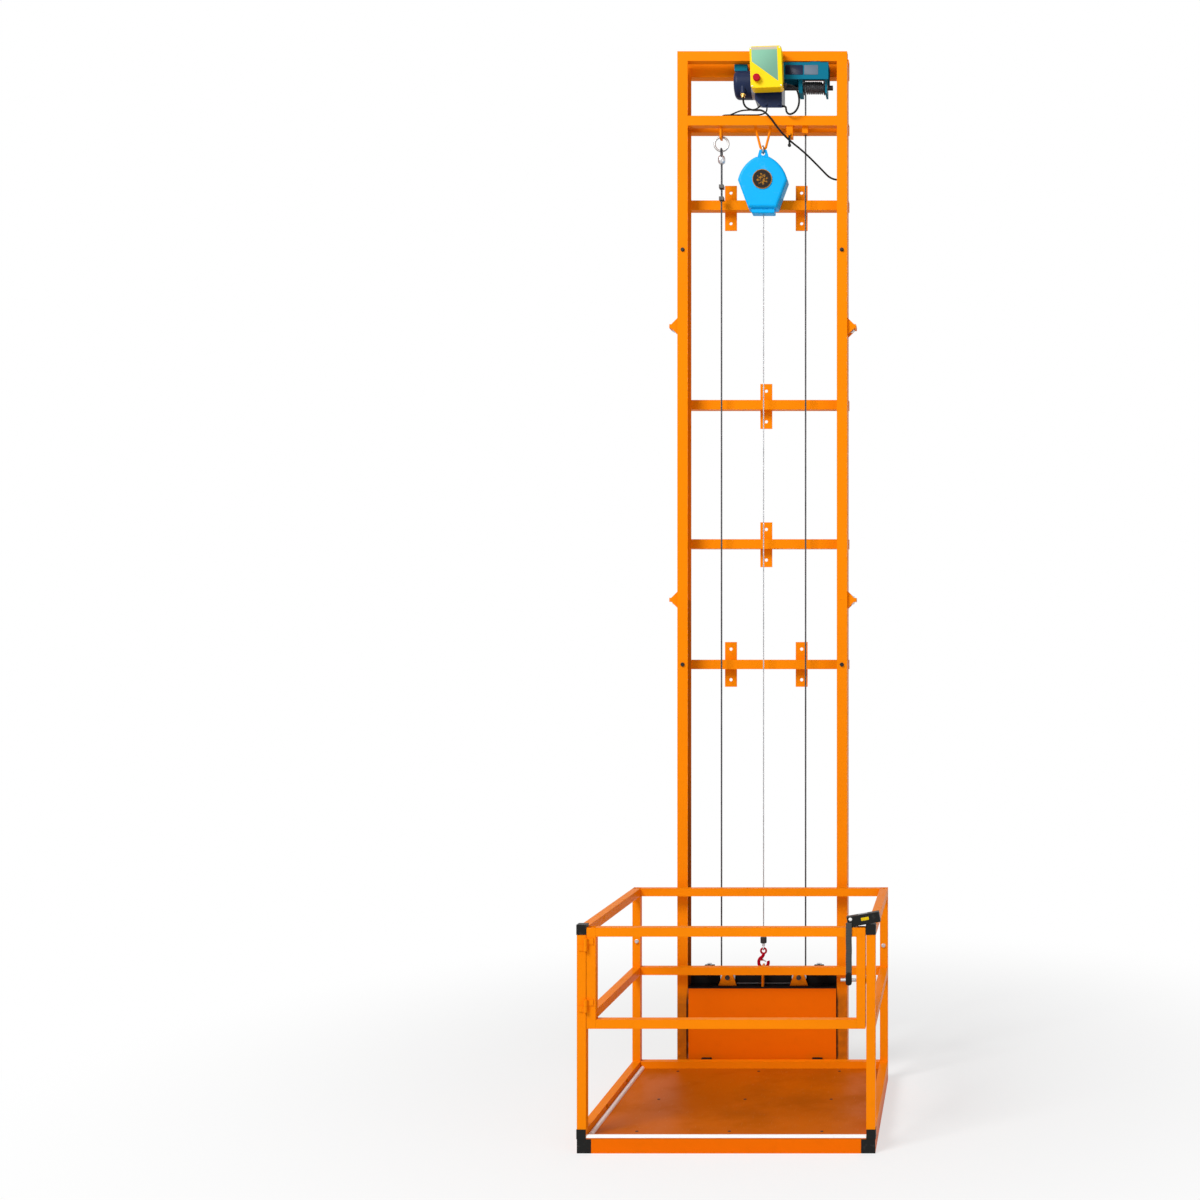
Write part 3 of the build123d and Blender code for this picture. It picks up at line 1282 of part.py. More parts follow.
# Gate: a frame of four tubes with the moving halves of its hinges
gate_left = -post_inner + gate_side_gap
gate_right = post_inner - gate_latch_gap
gate_y = (cage_front, front_post_back)
hinge_x = (gate_left - post_inner) / 2
hinge_y = cage_front - hinge_diameter / 2
with BuildPart() as gate:
    for left in (gate_left, gate_right - cage_tube):
        tube((left, left + cage_tube), gate_y, (mid_rail_bottom, cage_height), cage_tube_wall, "Z")
    for bottom in (mid_rail_bottom, top_rail_bottom):
        across = (gate_left + cage_tube + weld_gap, gate_right - cage_tube - weld_gap)
        tube(across, gate_y, (bottom, bottom + cage_tube), cage_tube_wall, "X")
    for z in hinge_heights:
        start = z + side_clearance
        rod((hinge_x, hinge_y, start), (0, 0, 1), hinge_diameter / 2, hinge_knuckle)
        leaf_y = (cage_front - hinge_leaf_thickness, cage_front)
        block((hinge_x + gate_side_gap, hinge_x + hinge_leaf), leaf_y, (start, start + hinge_knuckle))
        bore = hinge_pin_diameter / 2 + pin_clearance
        rod((hinge_x, hinge_y, start), (0, 0, 1), bore, hinge_knuckle, Mode.SUBTRACT)
    bolt_guide_y = (front_post_back, front_post_back + bolt_guide_side)
    bolt_guide_z = (bolt_height - bolt_guide_side / 2, bolt_height + bolt_guide_side / 2)
    block((gate_right - cage_tube, gate_right), bolt_guide_y, bolt_guide_z)
    bolt_y = front_post_back + bolt_guide_side / 2
    bore_start = (gate_right - cage_tube, bolt_y, bolt_height)
    rod(bore_start, (1, 0, 0), bolt_rod_diameter / 2 + pin_clearance, cage_tube, Mode.SUBTRACT)
save(gate, "gate")

# Fixed halves of the hinges with their pins, and the keeper of the gate bolt
with BuildPart() as gate_fittings:
    for z in hinge_heights:
        rod((hinge_x, hinge_y, z), (0, 0, -1), hinge_diameter / 2, hinge_knuckle)
        leaf_y = (cage_front - hinge_leaf_thickness, cage_front)
        block((hinge_x - hinge_leaf, hinge_x), leaf_y, (z - hinge_knuckle, z))
        rod((hinge_x, hinge_y, z), (0, 0, 1), hinge_pin_diameter / 2, hinge_knuckle)
    block((post_inner, half_cage), bolt_guide_y, bolt_guide_z)
    keeper_start = (post_inner, bolt_y, bolt_height)
    rod(keeper_start, (1, 0, 0), bolt_rod_diameter / 2 + bolt_hole_clearance, cage_tube, Mode.SUBTRACT)
save(gate_fittings, "gate_fittings")

# Sliding gate bolt, drawn back; its knob stops it against the guide
with BuildPart() as gate_bolt:
    bolt_tip = gate_right - side_clearance
    rod((bolt_tip, bolt_y, bolt_height), (-1, 0, 0), bolt_rod_diameter / 2, bolt_rod_length)
    knob_x = gate_right - cage_tube - bolt_travel - side_clearance - bolt_knob_diameter / 2
    rod((knob_x, bolt_y, bolt_height), (0, 1, 0), bolt_knob_diameter / 2, bolt_knob_length)
save(gate_bolt, "gate_bolt")

# Handset resting across the gate's top rail and the right post's cap
lean = math.radians(handset_tilt)
handset_left = post_inner - handset_overhang
handset_origin = (handset_left, cage_front + cage_tube / 2, cage_height + weld_gap)
handset_plane = Plane(
    origin=handset_origin,
    x_dir=(math.cos(lean), 0, math.sin(lean)),
    z_dir=(-math.sin(lean), 0, math.cos(lean)),
)
pocket_depth = rocker_height + rocker_swing_gap
with BuildPart() as handset_body:
    with BuildSketch(handset_plane):
        with Locations((handset_length / 2, 0)):
            RectangleRounded(handset_length, handset_width, handset_edge)
    extrude(amount=handset_height)
    with BuildSketch(handset_plane.offset(handset_height - pocket_depth)):
        with Locations((handset_length / 2, 0)):
            Rectangle(rocker_length + 2 * rocker_swing_gap, rocker_width + 2 * rocker_swing_gap)
    extrude(amount=pocket_depth, mode=Mode.SUBTRACT)
    pin_half = rocker_width / 2 + rocker_swing_gap + rocker_pin_seat
    pin_local = Vector(handset_length / 2, -pin_half, handset_height - rocker_height / 2)
    pin_start = handset_plane.from_local_coords(pin_local)
    rod(pin_start, (0, 1, 0), rocker_pin_diameter / 2, 2 * pin_half)
save(handset_body, "handset_body")

with BuildPart() as handset_rocker:
    with BuildSketch(handset_plane.offset(handset_height - rocker_height + rocker_swing_gap)):
        with Locations((handset_length / 2, 0)):
            RectangleRounded(rocker_length, rocker_width, rocker_swing_gap)
    extrude(amount=rocker_height)
    rod(pin_start, (0, 1, 0), rocker_pin_diameter / 2 + pin_clearance, 2 * pin_half, Mode.SUBTRACT)
save(handset_rocker, "handset_rocker")

# Wrist strap hanging from the handset's left end in front of the rail, with its heavy end
with BuildPart() as handset_strap:
    strap_x = (handset_left - strap_overhang, handset_left - strap_overhang + strap_width)
    strap_y = (cage_front - weld_gap - strap_thickness, cage_front - weld_gap)
    strap_top = cage_height + strap_rise
    block(strap_x, strap_y, (strap_top - strap_length, strap_top))
    weight_y = (cage_front - weld_gap - strap_weight_thickness, cage_front - weld_gap)
    weight_top = strap_top - strap_length
    block(strap_x, weight_y, (weight_top - strap_weight_length, weight_top))
save(handset_strap, "handset_strap")

# Spring latch of the safety hook
with BuildPart() as hook_latch:
    pivot = (latch_pivot[0], -latch_width / 2, bowl_z + latch_pivot[1])
    rod(pivot, (0, 1, 0), latch_hub_diameter / 2, latch_width)
    slope = Vector(latch_tip[0] - latch_pivot[0], 0, latch_tip[1] - latch_pivot[1])
    latch_middle = Vector(latch_pivot[0], 0, bowl_z + latch_pivot[1]) + slope * 0.5
    with BuildSketch(Plane(origin=latch_middle, x_dir=slope, z_dir=(0, 1, 0))) as latch_outline:
        Rectangle(slope.length, latch_thickness)
    extrude(latch_outline.sketch, amount=latch_width / 2, both=True)
    rod(pivot, (0, 1, 0), latch_pin_diameter / 2 + pin_clearance, latch_width, Mode.SUBTRACT)
save(hook_latch, "hook_latch")

# Swivel link, rubber stopper and the arrester's cable
link_rise = hook_eye_radius - (hook_eye_wire + swivel_ring_wire) / 2 - side_clearance
link_z = eye_z + link_rise + swivel_ring_radius
stub_z = link_z + swivel_ring_radius
stopper_z = stub_z + swivel_height
with BuildPart() as cable_end:
    rod((0, 0, stopper_z), (0, 0, 1), stopper_diameter / 2, stopper_height)
    fillet(cable_end.edges().filter_by(GeomType.CIRCLE), stopper_edge)
    with Locations(Location((0, 0, link_z), (0, 90, 0))):
        Torus(swivel_ring_radius, swivel_ring_wire / 2)
    rod((0, 0, stub_z), (0, 0, 1), swivel_diameter / 2, swivel_height)
save(cable_end, "cable_end")

with BuildPart() as arrester_cable:
    cable_bottom = stopper_z + stopper_height
    cable_top = arrester_bottom - arrester_wall
    rod((0, 0, cable_bottom), (0, 0, 1), cable_diameter / 2, cable_top - cable_bottom)
save(arrester_cable, "arrester_cable")
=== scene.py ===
import json
import math

import bpy
import numpy as np
from bpy.props import FloatProperty, FloatVectorProperty, IntProperty, PointerProperty
from bpy.types import Operator, Panel, PropertyGroup
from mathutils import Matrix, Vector


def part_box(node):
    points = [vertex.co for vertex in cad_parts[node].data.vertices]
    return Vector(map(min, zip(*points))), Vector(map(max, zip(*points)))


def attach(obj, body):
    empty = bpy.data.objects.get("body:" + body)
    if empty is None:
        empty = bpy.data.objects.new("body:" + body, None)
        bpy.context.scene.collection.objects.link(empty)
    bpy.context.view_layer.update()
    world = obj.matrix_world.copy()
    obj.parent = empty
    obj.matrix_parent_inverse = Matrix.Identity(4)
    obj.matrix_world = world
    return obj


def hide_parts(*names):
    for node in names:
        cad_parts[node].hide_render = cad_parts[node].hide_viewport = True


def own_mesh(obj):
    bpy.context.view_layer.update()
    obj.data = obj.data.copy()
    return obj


bl_info = {
    "name": "Wall-mounted cargo lift",
    "version": (1, 0, 0),
    "blender": (4, 5, 0),
    "location": "View3D > Sidebar > Cargo lift",
    "description": "Dresses the lift with ropes, leads, trim and paint, and sets it on a studio stage",
    "category": "Object",
}

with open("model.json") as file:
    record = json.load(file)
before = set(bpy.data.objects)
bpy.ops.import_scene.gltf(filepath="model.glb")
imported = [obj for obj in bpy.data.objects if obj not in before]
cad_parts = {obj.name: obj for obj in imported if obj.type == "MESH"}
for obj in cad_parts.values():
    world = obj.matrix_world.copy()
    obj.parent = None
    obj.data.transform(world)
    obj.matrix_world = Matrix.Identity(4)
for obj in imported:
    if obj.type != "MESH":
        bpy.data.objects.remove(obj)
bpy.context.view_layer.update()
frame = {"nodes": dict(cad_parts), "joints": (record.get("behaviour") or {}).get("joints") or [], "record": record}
mm = 0.001


def middle(node):
    """Middle of a node's box."""
    low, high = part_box(node)
    return (low + high) / 2


def leaning(angle):
    """Directions along and up a face that leans by an angle to the right."""
    along = np.array((math.cos(angle), 0, math.sin(angle)))
    upward = np.array((-math.sin(angle), 0, math.cos(angle)))
    return along, upward


# Places that several pieces share
box_middle = (middle("control_cover").x, middle("control_cover").z)
box_tilt = math.radians(2.0)
box_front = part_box("control_cover")[0].y + 3 * mm
tube = 32 * mm
cage_low, cage_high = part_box("cage_posts")
floor_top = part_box("floor_plate")[1].z
half_mast = 353 * mm
upright_inner = 310 * mm
upright_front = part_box("lower_uprights")[0].y


def srgb(red, green, blue):
    """The linear colour of a screen colour given from 0 to 255."""
    share = np.array((red, green, blue)) / 255
    return tuple(np.where(share <= 0.04045, share / 12.92, ((share + 0.055) / 1.055) ** 2.4))


# Sizes and colours that a user would change

def colour(label, words, default):
    """A colour setting with its default."""
    return FloatVectorProperty(
        name=label, description=words, subtype="COLOR", size=3, min=0, max=1, default=default)


def distance(label, words, default):
    """A length setting in metres with its default."""
    return FloatProperty(
        name=label, description=words, subtype="DISTANCE", unit="LENGTH", min=0, default=default)


def amount(label, words, default, low=0):
    """A number setting with its default and its lowest value."""
    return FloatProperty(name=label, description=words, default=default, min=low)


class LiftColours(PropertyGroup):
    """Colours of the lift's finishes."""

    frame_paint: colour("Frame paint", "Orange powder coat of mast, carriage and cage", srgb(250, 136, 8))
    # A darker copy of the frame orange: painted shade on the carriage plate and the cage base.
    shaded_frame_paint: colour("Deep paint", "Deeper orange of carriage plate and cage base", srgb(240, 110, 4))
    # The floor brown is darker than the frame orange: painted shade on the floor's upward face.
    floor_paint: colour("Floor paint", "Worn brown paint of the cage floor", srgb(198, 98, 2))
    hoist_paint: colour("Hoist paint", "Teal paint of the hoist's channel", srgb(20, 112, 138))
    motor_paint: colour("Motor paint", "Navy paint of motor and gearbox", srgb(26, 38, 70))
    box_yellow: colour("Box yellow", "Plastic of the control box", srgb(255, 214, 14))
    box_panel: colour("Box panel", "Bare field on the control box's cover", srgb(138, 194, 166))
    stop_red: colour("Stop red", "Plastic of the stop button", srgb(178, 8, 30))
    hook_red: colour("Hook red", "Paint of the safety hook", srgb(176, 6, 34))
    arrester_blue: colour("Arrester blue", "Plastic of the fall arrester", srgb(4, 172, 240))
    rubber: colour("Rubber", "Caps, leads and stopper", srgb(24, 24, 23))
    gold: colour("Gold", "Ring and star of the badge", srgb(134, 92, 30))


class LiftRopes(PropertyGroup):
    """Make of the wire ropes."""

    rope_diameter: distance("Rope", "Diameter of the hoist rope", 7.0 * mm)
    cable_diameter: distance("Cable", "Diameter of the arrester's cable", 5.0 * mm)
    lay_ratio: amount("Lay", "Length of one strand turn in diameters", 6.5, 3)
    strands: IntProperty(name="Strands", description="Strands round the rope's core", default=6, min=3)


class LiftStage(PropertyGroup):
    """Camera and light of the stage."""

    camera_place: FloatVectorProperty(
        name="Camera", description="Where the camera stands", subtype="TRANSLATION", unit="LENGTH",
        size=3, default=(0.8258, -5.8180, 1.7434))
    lens: amount("Lens", "Focal length on a 36 mm sensor, in millimetres", 41.694)
    shift: FloatVectorProperty(
        name="Shift", description="Lens shift that frames the lift", size=2, default=(-0.3007, 0.0481))
    key_power: amount("Key", "Large soft lamp at the left, in watts", 930.0)
    fill_power: amount("Fill", "Soft lamp at the right, in watts", 70.0)
    sky: amount("Sky", "Even light from all round", 0.30)


# Shader maths and finishes

class Signal:
    """The value of one socket. Arithmetic on it adds Math nodes."""

    def __init__(self, graph, socket):
        self.graph = graph
        self.socket = socket

    def output(self, name):
        """Another output of the same node."""
        return Signal(self.graph, self.socket.node.outputs[name])

    def math(self, operation, first, second=0.0):
        """A Math node on two values."""
        return self.graph.node("ShaderNodeMath", {"operation": operation}, {0: first, 1: second})

    def __add__(self, other):
        return self.math("ADD", self, other)

    __radd__ = __add__

    def __sub__(self, other):
        return self.math("SUBTRACT", self, other)

    def __rsub__(self, other):
        return self.math("SUBTRACT", other, self)

    def __mul__(self, other):
        return self.math("MULTIPLY", self, other)

    def __pow__(self, other):
        return self.math("POWER", self, other)

    def __abs__(self):
        return self.math("ABSOLUTE", self)

    def sine(self):
        """Sine of an angle in radians."""
        return self.math("SINE", self)

    def rise(self, low, high):
        """Zero below low, one above high, and smooth between them."""
        places = {"Value": self, "From Min": low, "From Max": high}
        return self.graph.node("ShaderNodeMapRange", {"interpolation_type": "SMOOTHSTEP"}, places)

    def past(self, level, soft):
        """Zero below a level and one above it, blended over the soft distance on both sides."""
        return self.rise(level - soft, level + soft)


class Graph:
    """The node tree of a material or of the world, in the making."""

    def __init__(self, owner):
        owner.use_nodes = True
        self.tree = owner.node_tree

    def feed(self, socket, value):
        """Link a socket to a signal, or set its value."""
        if isinstance(value, Signal):
            self.tree.links.new(value.socket, socket)
        elif socket.type == "RGBA" and len(value) == 3:
            socket.default_value = (*value, 1)
        else:
            socket.default_value = value

    def node(self, kind, settings=None, sockets=None, output=0):
        """Add a node with its settings, feed its sockets, and return one output as a signal."""
        made = self.tree.nodes.new(kind)
        for name, value in (settings or {}).items():
            setattr(made, name, value)
        for name, value in (sockets or {}).items():
            self.feed(made.inputs[name], value)
        return Signal(self, made.outputs[output])

    def seen(self):
        """One for rays from the camera and from mirrors, zero for rays that only carry light."""
        path = self.node("ShaderNodeLightPath", output="Is Camera Ray")
        return path.math("MAXIMUM", path, path.output("Is Glossy Ray"))


class Finish(Graph):
    """One material in the making, with its surface shader."""

    def __init__(self, name, **constants):
        self.material = bpy.data.materials.new(name)
        super().__init__(self.material)
        self.surface = self.tree.nodes["Principled BSDF"]
        self.shader = Signal(self, self.surface.outputs[0])
        for socket, value in constants.items():
            self.feed(self.surface.inputs[socket.replace("_", " ")], value)
        self.place = self.node("ShaderNodeTexCoord", output="Object")
        self.x = self.node("ShaderNodeSeparateXYZ", {}, {0: self.place}, "X")
        self.y = self.x.output("Y")
        self.z = self.x.output("Z")

    def noise(self, scale, detail=2.0, stretch=(1, 1, 1)):
        """Cloudy noise over the piece, with so many blotches to the metre, stretched per axis."""
        where = self.node("ShaderNodeMapping", {}, {"Vector": self.place, "Scale": stretch})
        return self.node("ShaderNodeTexNoise", {}, {"Vector": where, "Scale": scale, "Detail": detail})

    def mix(self, share, first, second):
        """A colour between two, by a share from 0 to 1."""
        return self.node("ShaderNodeMix", {"data_type": "RGBA"}, {0: share, 6: first, 7: second}, 2)

    def shade(self, share, base, first, second):
        """A colour between two tints of the same base."""
        return self.mix(share, tint(base, first), tint(base, second))

    def edges(self, radius):
        """One along edges sharper than the radius, zero on flat and round faces."""
        soft = self.node("ShaderNodeBevel", {"samples": 4}, {"Radius": radius})
        hard = self.node("ShaderNodeNewGeometry", output="Normal")
        match = self.node("ShaderNodeVectorMath", {"operation": "DOT_PRODUCT"}, {0: soft, 1: hard}, "Value")
        return (1 - match).rise(0.02, 0.2)

    def run(self):
        """Share round a piece and distance along it, from the piece's own map."""
        around = self.node("ShaderNodeSeparateXYZ", {}, {0: self.node("ShaderNodeUVMap")}, "X")
        return around, around.output("Y")

    def coat(self, base, roughness, height, depth, strength, metallic=None):
        """Feed the surface its colour, its roughness, its bump and, where it varies, its metallic share."""
        relief = {"Height": height, "Distance": depth, "Strength": strength}
        bump = self.node("ShaderNodeBump", {}, relief)
        values = {"Base Color": base, "Roughness": roughness, "Normal": bump}
        if metallic is not None:
            values["Metallic"] = metallic
        for name, value in values.items():
            self.feed(self.surface.inputs[name], value)
        return self.material


def tint(base, factor):
    """A colour made lighter or darker."""
    return tuple(min(1.0, channel * factor) for channel in base)


def powder_coat(name, base, gloss=0.34, worn=(0.16, 0.045, 0.012), wear=0.55, painted_shade=None):
    """Powder coat: a thick sprayed skin with orange peel, cloudy dust and paint rubbed thin on the edges.
    A shade function of the finish gives the share of near-black painted shade over it."""
    finish = Finish(name, Specular_IOR_Level=0.015)
    cloud = finish.noise(2.6, 4.0)
    dust = finish.noise(24.0, 5.0).rise(0.52, 0.78)
    peel = finish.noise(520.0, 1.0)
    rubbed = finish.edges(1.6 * mm) * finish.noise(38.0, 4.0).rise(0.5, 0.68)
    tone = finish.shade(cloud, base, 0.90, 1.06)
    dusty = finish.mix(dust * 0.12, tone, tint(base, 0.7))
    skin = finish.mix(rubbed * wear, dusty, worn)
    if painted_shade is not None:
        # Near-black painted shade where the shade function asks for it.
        skin = finish.mix(painted_shade(finish), skin, (0.018, 0.012, 0.010))
    return finish.coat(skin, gloss + dust * 0.14 + rubbed * 0.2, peel, 0.00025, 0.22)


def shade_beside_carriage(finish):
    """Painted shade beside the resting carriage: a thin brown darkening over the front, near black at the inner
    edge.
    Inside the channel painted shade runs along the whole track, darker towards the floor."""
    front_wall, rear_edge = 5 * mm, 77 * mm
    above_foot = finish.z.rise(50 * mm, 90 * mm)
    above_carriage = finish.z.rise(310 * mm, 385 * mm)
    inner = 1 - abs(finish.x).past(upright_inner + 6 * mm, 2 * mm)
    # Blotchy painted shade over the front beside the carriage.
    blotchy_shade = finish.noise(30.0, 4.0).rise(0.2, 0.6) * 0.2 + 0.3
    depth = finish.y - upright_front
    behind = depth.past(front_wall, 1 * mm)
    rear = depth.past(rear_edge, 1 * mm)
    outside = abs(finish.x).past(half_mast - 2 * mm, 1 * mm)
    track = behind * (1 - rear) * (1 - outside)
    # Painted shade inside the channel, darker towards the floor.
    darkening = 0.54 - finish.z.rise(900 * mm, 1400 * mm) * 0.27
    front = above_foot * (1 - above_carriage) * (1 - behind)
    return front * (blotchy_shade + inner * 0.45) + track * darkening


def metal_and_rubber(finish, share, metal, rubber, dullness, depth, strength):
    """Bare metal where the share is zero, black rubber where it is one."""
    marks = finish.noise(300.0, 3.0)
    skin = finish.mix(share, metal, rubber)
    return finish.coat(skin, 0.3 + share * dullness + marks * 0.1, marks, depth, strength, 1 - share)


def gland_coat(name, brass, black):
    """Brass glands on the left of the mast's middle, black ones on its right."""
    finish = Finish(name)
    return metal_and_rubber(finish, finish.x.past(0, 1 * mm), brass, black, 0.25, 0.0001, 0.15)


def hook_end(name, metal, rubber):
    """Plated swivel below, black rubber stopper above it."""
    finish = Finish(name)
    stopper_height = 26 * mm
    stopper = (finish.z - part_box("cable_end")[1].z + stopper_height).rise(0, 0.4 * mm)
    return metal_and_rubber(finish, stopper, metal, rubber, 0.3, 0.0002, 0.2)


def worn_floor(name, base):
    """Floor paint that boots and loads have scuffed: long scratches, dark smears and dull patches."""
    finish = Finish(name, Specular_IOR_Level=0.04)
    smear = finish.noise(5.0, 6.0).rise(0.42, 0.72)
    lengthwise = finish.noise(60.0, 3.0, (6.0, 0.5, 1.0)).rise(0.62, 0.74)
    crosswise = finish.noise(54.0, 3.0, (0.5, 6.0, 1.0)).rise(0.66, 0.78)
    scuff = lengthwise * 0.6 + crosswise * 0.4
    stained = finish.mix(smear * 0.4, base, tint(base, 0.6))
    skin = finish.mix(scuff * 0.35, stained, (0.62, 0.40, 0.24))
    grain = finish.noise(300.0, 2.0)
    return finish.coat(skin, 0.42 + smear * 0.2 + scuff * 0.1, grain + scuff * -0.6, 0.0003, 0.3)


def plated_steel(name, base=(0.60, 0.61, 0.63), roughness=0.30):
    """Zinc-plated steel: pale metal with a patchy crystal bloom and fine marks."""
    finish = Finish(name, Metallic=1.0)
    bloom = finish.node("ShaderNodeTexVoronoi", {}, {"Vector": finish.place, "Scale": 160.0}, "Distance")
    marks = finish.noise(700.0, 2.0)
    stain = finish.noise(40.0, 4.0).rise(0.5, 0.8)
    skin = finish.shade(bloom * 0.6, base, 0.86, 1.1)
    dirty = finish.mix(stain * 0.35, skin, tint(base, 0.4))
    return finish.coat(dirty, roughness + stain * 0.22 + bloom * 0.08, marks, 0.0001, 0.12)


def laid_wire(name, bright, dark, wires=42):
    """Wire rope: bright wires on the strands, darker down in the grooves between them, with dark patches along the
    rope.
    """
    finish = Finish(name, Metallic=0.75)
    groove = finish.node("ShaderNodeAttribute", {"attribute_name": "groove"}, {}, "Fac")
    around, along = finish.run()
    wire = abs(((around + along) * (math.pi * wires)).sine())
    darkening = finish.noise(14.0, 4.0).rise(0.45, 0.75)
    clean = finish.mix(groove.rise(0.1, 0.9) * 0.9, bright, dark)
    skin = finish.mix(darkening * 0.35, clean, dark)
    return finish.coat(skin, 0.36 + darkening * 0.2 + groove * 0.2, wire, 0.0003, 0.5)


def moulded_plastic(name, base, roughness=0.36, grain=900.0):
    """Moulded plastic: an even colour, a fine spark-eroded grain and slight handling marks."""
    finish = Finish(name, Specular_IOR_Level=0.12)
    cloud = finish.noise(9.0, 3.0)
    marks = finish.noise(48.0, 5.0).rise(0.58, 0.8)
    sand = finish.noise(grain, 1.0)
    tone = finish.shade(cloud, base, 0.93, 1.05)
    skin = finish.mix(marks * 0.12, tone, (0.35, 0.33, 0.30))
    return finish.coat(skin, roughness + marks * 0.16, sand, 0.00012, 0.2)


def dull_rubber(name, base):
    """Black rubber: grey bloom over a dull, slightly pitted skin."""
    finish = Finish(name, Specular_IOR_Level=0.1)
    bloom = finish.noise(30.0, 5.0).rise(0.45, 0.8)
    pits = finish.noise(600.0, 2.0)
    skin = finish.mix(bloom * 0.25, base, tint(base, 2.4))
    return finish.coat(skin, 0.52 + bloom * 0.2, pits, 0.0002, 0.25)


def cast_iron_paint(name, base):
    """Hammered machine enamel on a casting: soft dimples under a glossy skin."""
    finish = Finish(name, Specular_IOR_Level=0.14, Coat_Weight=0.03, Coat_Roughness=0.2)
    cells = {"Vector": finish.place, "Scale": 210.0}
    dimple = finish.node("ShaderNodeTexVoronoi", {"feature": "SMOOTH_F1"}, cells)
    cloud = finish.noise(7.0, 3.0)
    rubbed = finish.edges(1.5 * mm) * finish.noise(45.0, 4.0).rise(0.5, 0.7)
    tone = finish.shade(cloud, base, 0.85, 1.15)
    skin = finish.mix(rubbed * 0.5, tone, tint(base, 2.6))
    return finish.coat(skin, 0.32 + rubbed * 0.2, dimple, 0.0004, 0.25)


def motor_coat(name, base, metal):
    """Enamelled end bell on the left, bare cast aluminium from the joint to the gearbox."""
    finish = Finish(name, Specular_IOR_Level=0.14)
    joint = -46 * mm
    bare = finish.x.past(joint, 0.4 * mm)
    cloud = finish.noise(7.0, 3.0)
    cast = finish.noise(260.0, 3.0)
    enamel = finish.shade(cloud, base, 0.85, 1.15)
    skin = finish.mix(bare, enamel, metal)
    return finish.coat(skin, 0.34 + cast * 0.12, cast, 0.0003, 0.2, bare * 0.3)


def box_cover(name, base, panel):
    """Yellow cover with a bare pale field above a slanting edge, on the cover's own tilted axes; a painted sheen
    lightens the field towards its upper left.
    """
    finish = Finish(name, Specular_IOR_Level=0.12)
    cosine, sine = math.cos(box_tilt), math.sin(box_tilt)
    off_x, off_z = finish.x - box_middle[0], finish.z - box_middle[1]
    across = off_x * cosine + off_z * sine
    upward = off_z * cosine - off_x * sine
    left, right, top, soft = -58 * mm, 48 * mm, 82 * mm, 0.6 * mm
    slope, drop = 0.78, 22.5 * mm
    sides = across.past(left, soft) * (1 - across.past(right, soft))
    slant = (upward + across * slope).past(-drop, soft) * (1 - upward.past(top, soft))
    front = 1 - (finish.y - box_front).rise(0.8 * mm, 1.0 * mm)
    field = sides * slant * front
    cloud = finish.noise(10.0, 3.0)
    marks = finish.noise(55.0, 5.0).rise(0.6, 0.8)
    # Painted sheen: the field is lighter towards its upper left and darker towards its lower right.
    painted_sheen = (upward - across + cloud * 0.03).rise(-0.05, 0.13)
    light = finish.shade(painted_sheen, panel, 0.66, 0.98)
    pale = finish.mix(upward.rise(68 * mm, 74 * mm), light, (0.55, 0.47, 0.36))
    shell = finish.shade(cloud, base, 0.95, 1.04)
    skin = finish.mix(marks * 0.1, finish.mix(field, shell, pale), (0.35, 0.33, 0.28))
    sand = finish.noise(900.0, 1.0) * (1 - field)
    return finish.coat(skin, 0.34 - field * 0.1 + marks * 0.2, sand + field * 0.8, 0.0003, 0.25)


def arrester_shell(name, base, gold):
    """Blue shell whose round badge is dark, with a gold rim and a plain gold star of eight rays."""
    finish = Finish(name, Specular_IOR_Level=0.12)
    badge_radius, rim_radius, rays = 41.3 * mm, 37.8 * mm, 8
    star_core, star_reach = 14 * mm, 12 * mm
    drop = finish.z - middle("arrester_reel").z
    radius = (finish.x * finish.x + drop * drop) ** 0.5
    ray = drop.math("ARCTAN2", drop, finish.x)
    badge_face = 1 - (finish.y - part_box("arrester_front_shell")[0].y).rise(2.6 * mm, 2.9 * mm)
    badge = badge_face * (1 - radius.past(badge_radius, 0.1 * mm))
    petal = ((ray * rays).sine() * 0.5 + 0.5) * star_reach + star_core
    star = (petal - radius).past(0, 1 * mm) * radius.past(4 * mm, 1 * mm)
    rim = radius.past(rim_radius, 0.3 * mm)
    gilt = (star * finish.noise(160.0, 4.0).rise(0.35, 0.6) + rim).rise(0.2, 0.8)
    cloud = finish.noise(8.0, 3.0)
    marks = finish.noise(40.0, 5.0).rise(0.6, 0.82)
    shell = finish.shade(cloud, base, 0.93, 1.05)
    disc = finish.mix(gilt, (0.016, 0.010, 0.008), gold)
    skin = finish.mix(badge, finish.mix(marks * 0.1, shell, (0.5, 0.6, 0.65)), disc)
    sand = finish.noise(800.0, 1.0) * (1 - badge)
    gilded = badge * gilt
    return finish.coat(skin, 0.36 + marks * 0.14, sand + gilded, 0.0002, 0.25, gilded * 0.8)


def woven_web(name, base):
    """Nylon webbing: fine ribs across the band and a chevron along it, read from the band's own map."""
    finish = Finish(name, Sheen_Weight=0.3)
    around, along = finish.run()
    rib = abs((along * (math.pi * 90)).sine())
    chevron = abs(((along * 20 + abs(around * 4 - 2)) * math.pi).sine())
    weave = rib * 0.6 + chevron * 0.4
    skin = finish.mix(weave * 0.7 + finish.noise(60.0, 4.0) * 0.3, base, tint(base, 4.5))
    return finish.coat(skin, 0.62 + weave * 0.1, weave, 0.0006, 0.6)


# Surfaces

def unit(vectors):
    """Vectors scaled to length one."""
    vectors = np.asarray(vectors, float)
    return vectors / np.linalg.norm(vectors, axis=-1, keepdims=True)


def carry(path, rings, reference):
    """A profile carried along a path: point = path + first * side + second * up.
    Side is square to the path and the reference direction, and up is square to both."""
    ahead = unit(np.gradient(path, axis=0))
    side = unit(np.cross(ahead, reference))
    up = np.cross(ahead, side)
    return path[:, None] + rings[..., :1] * side[:, None] + rings[..., 1:] * up[:, None]


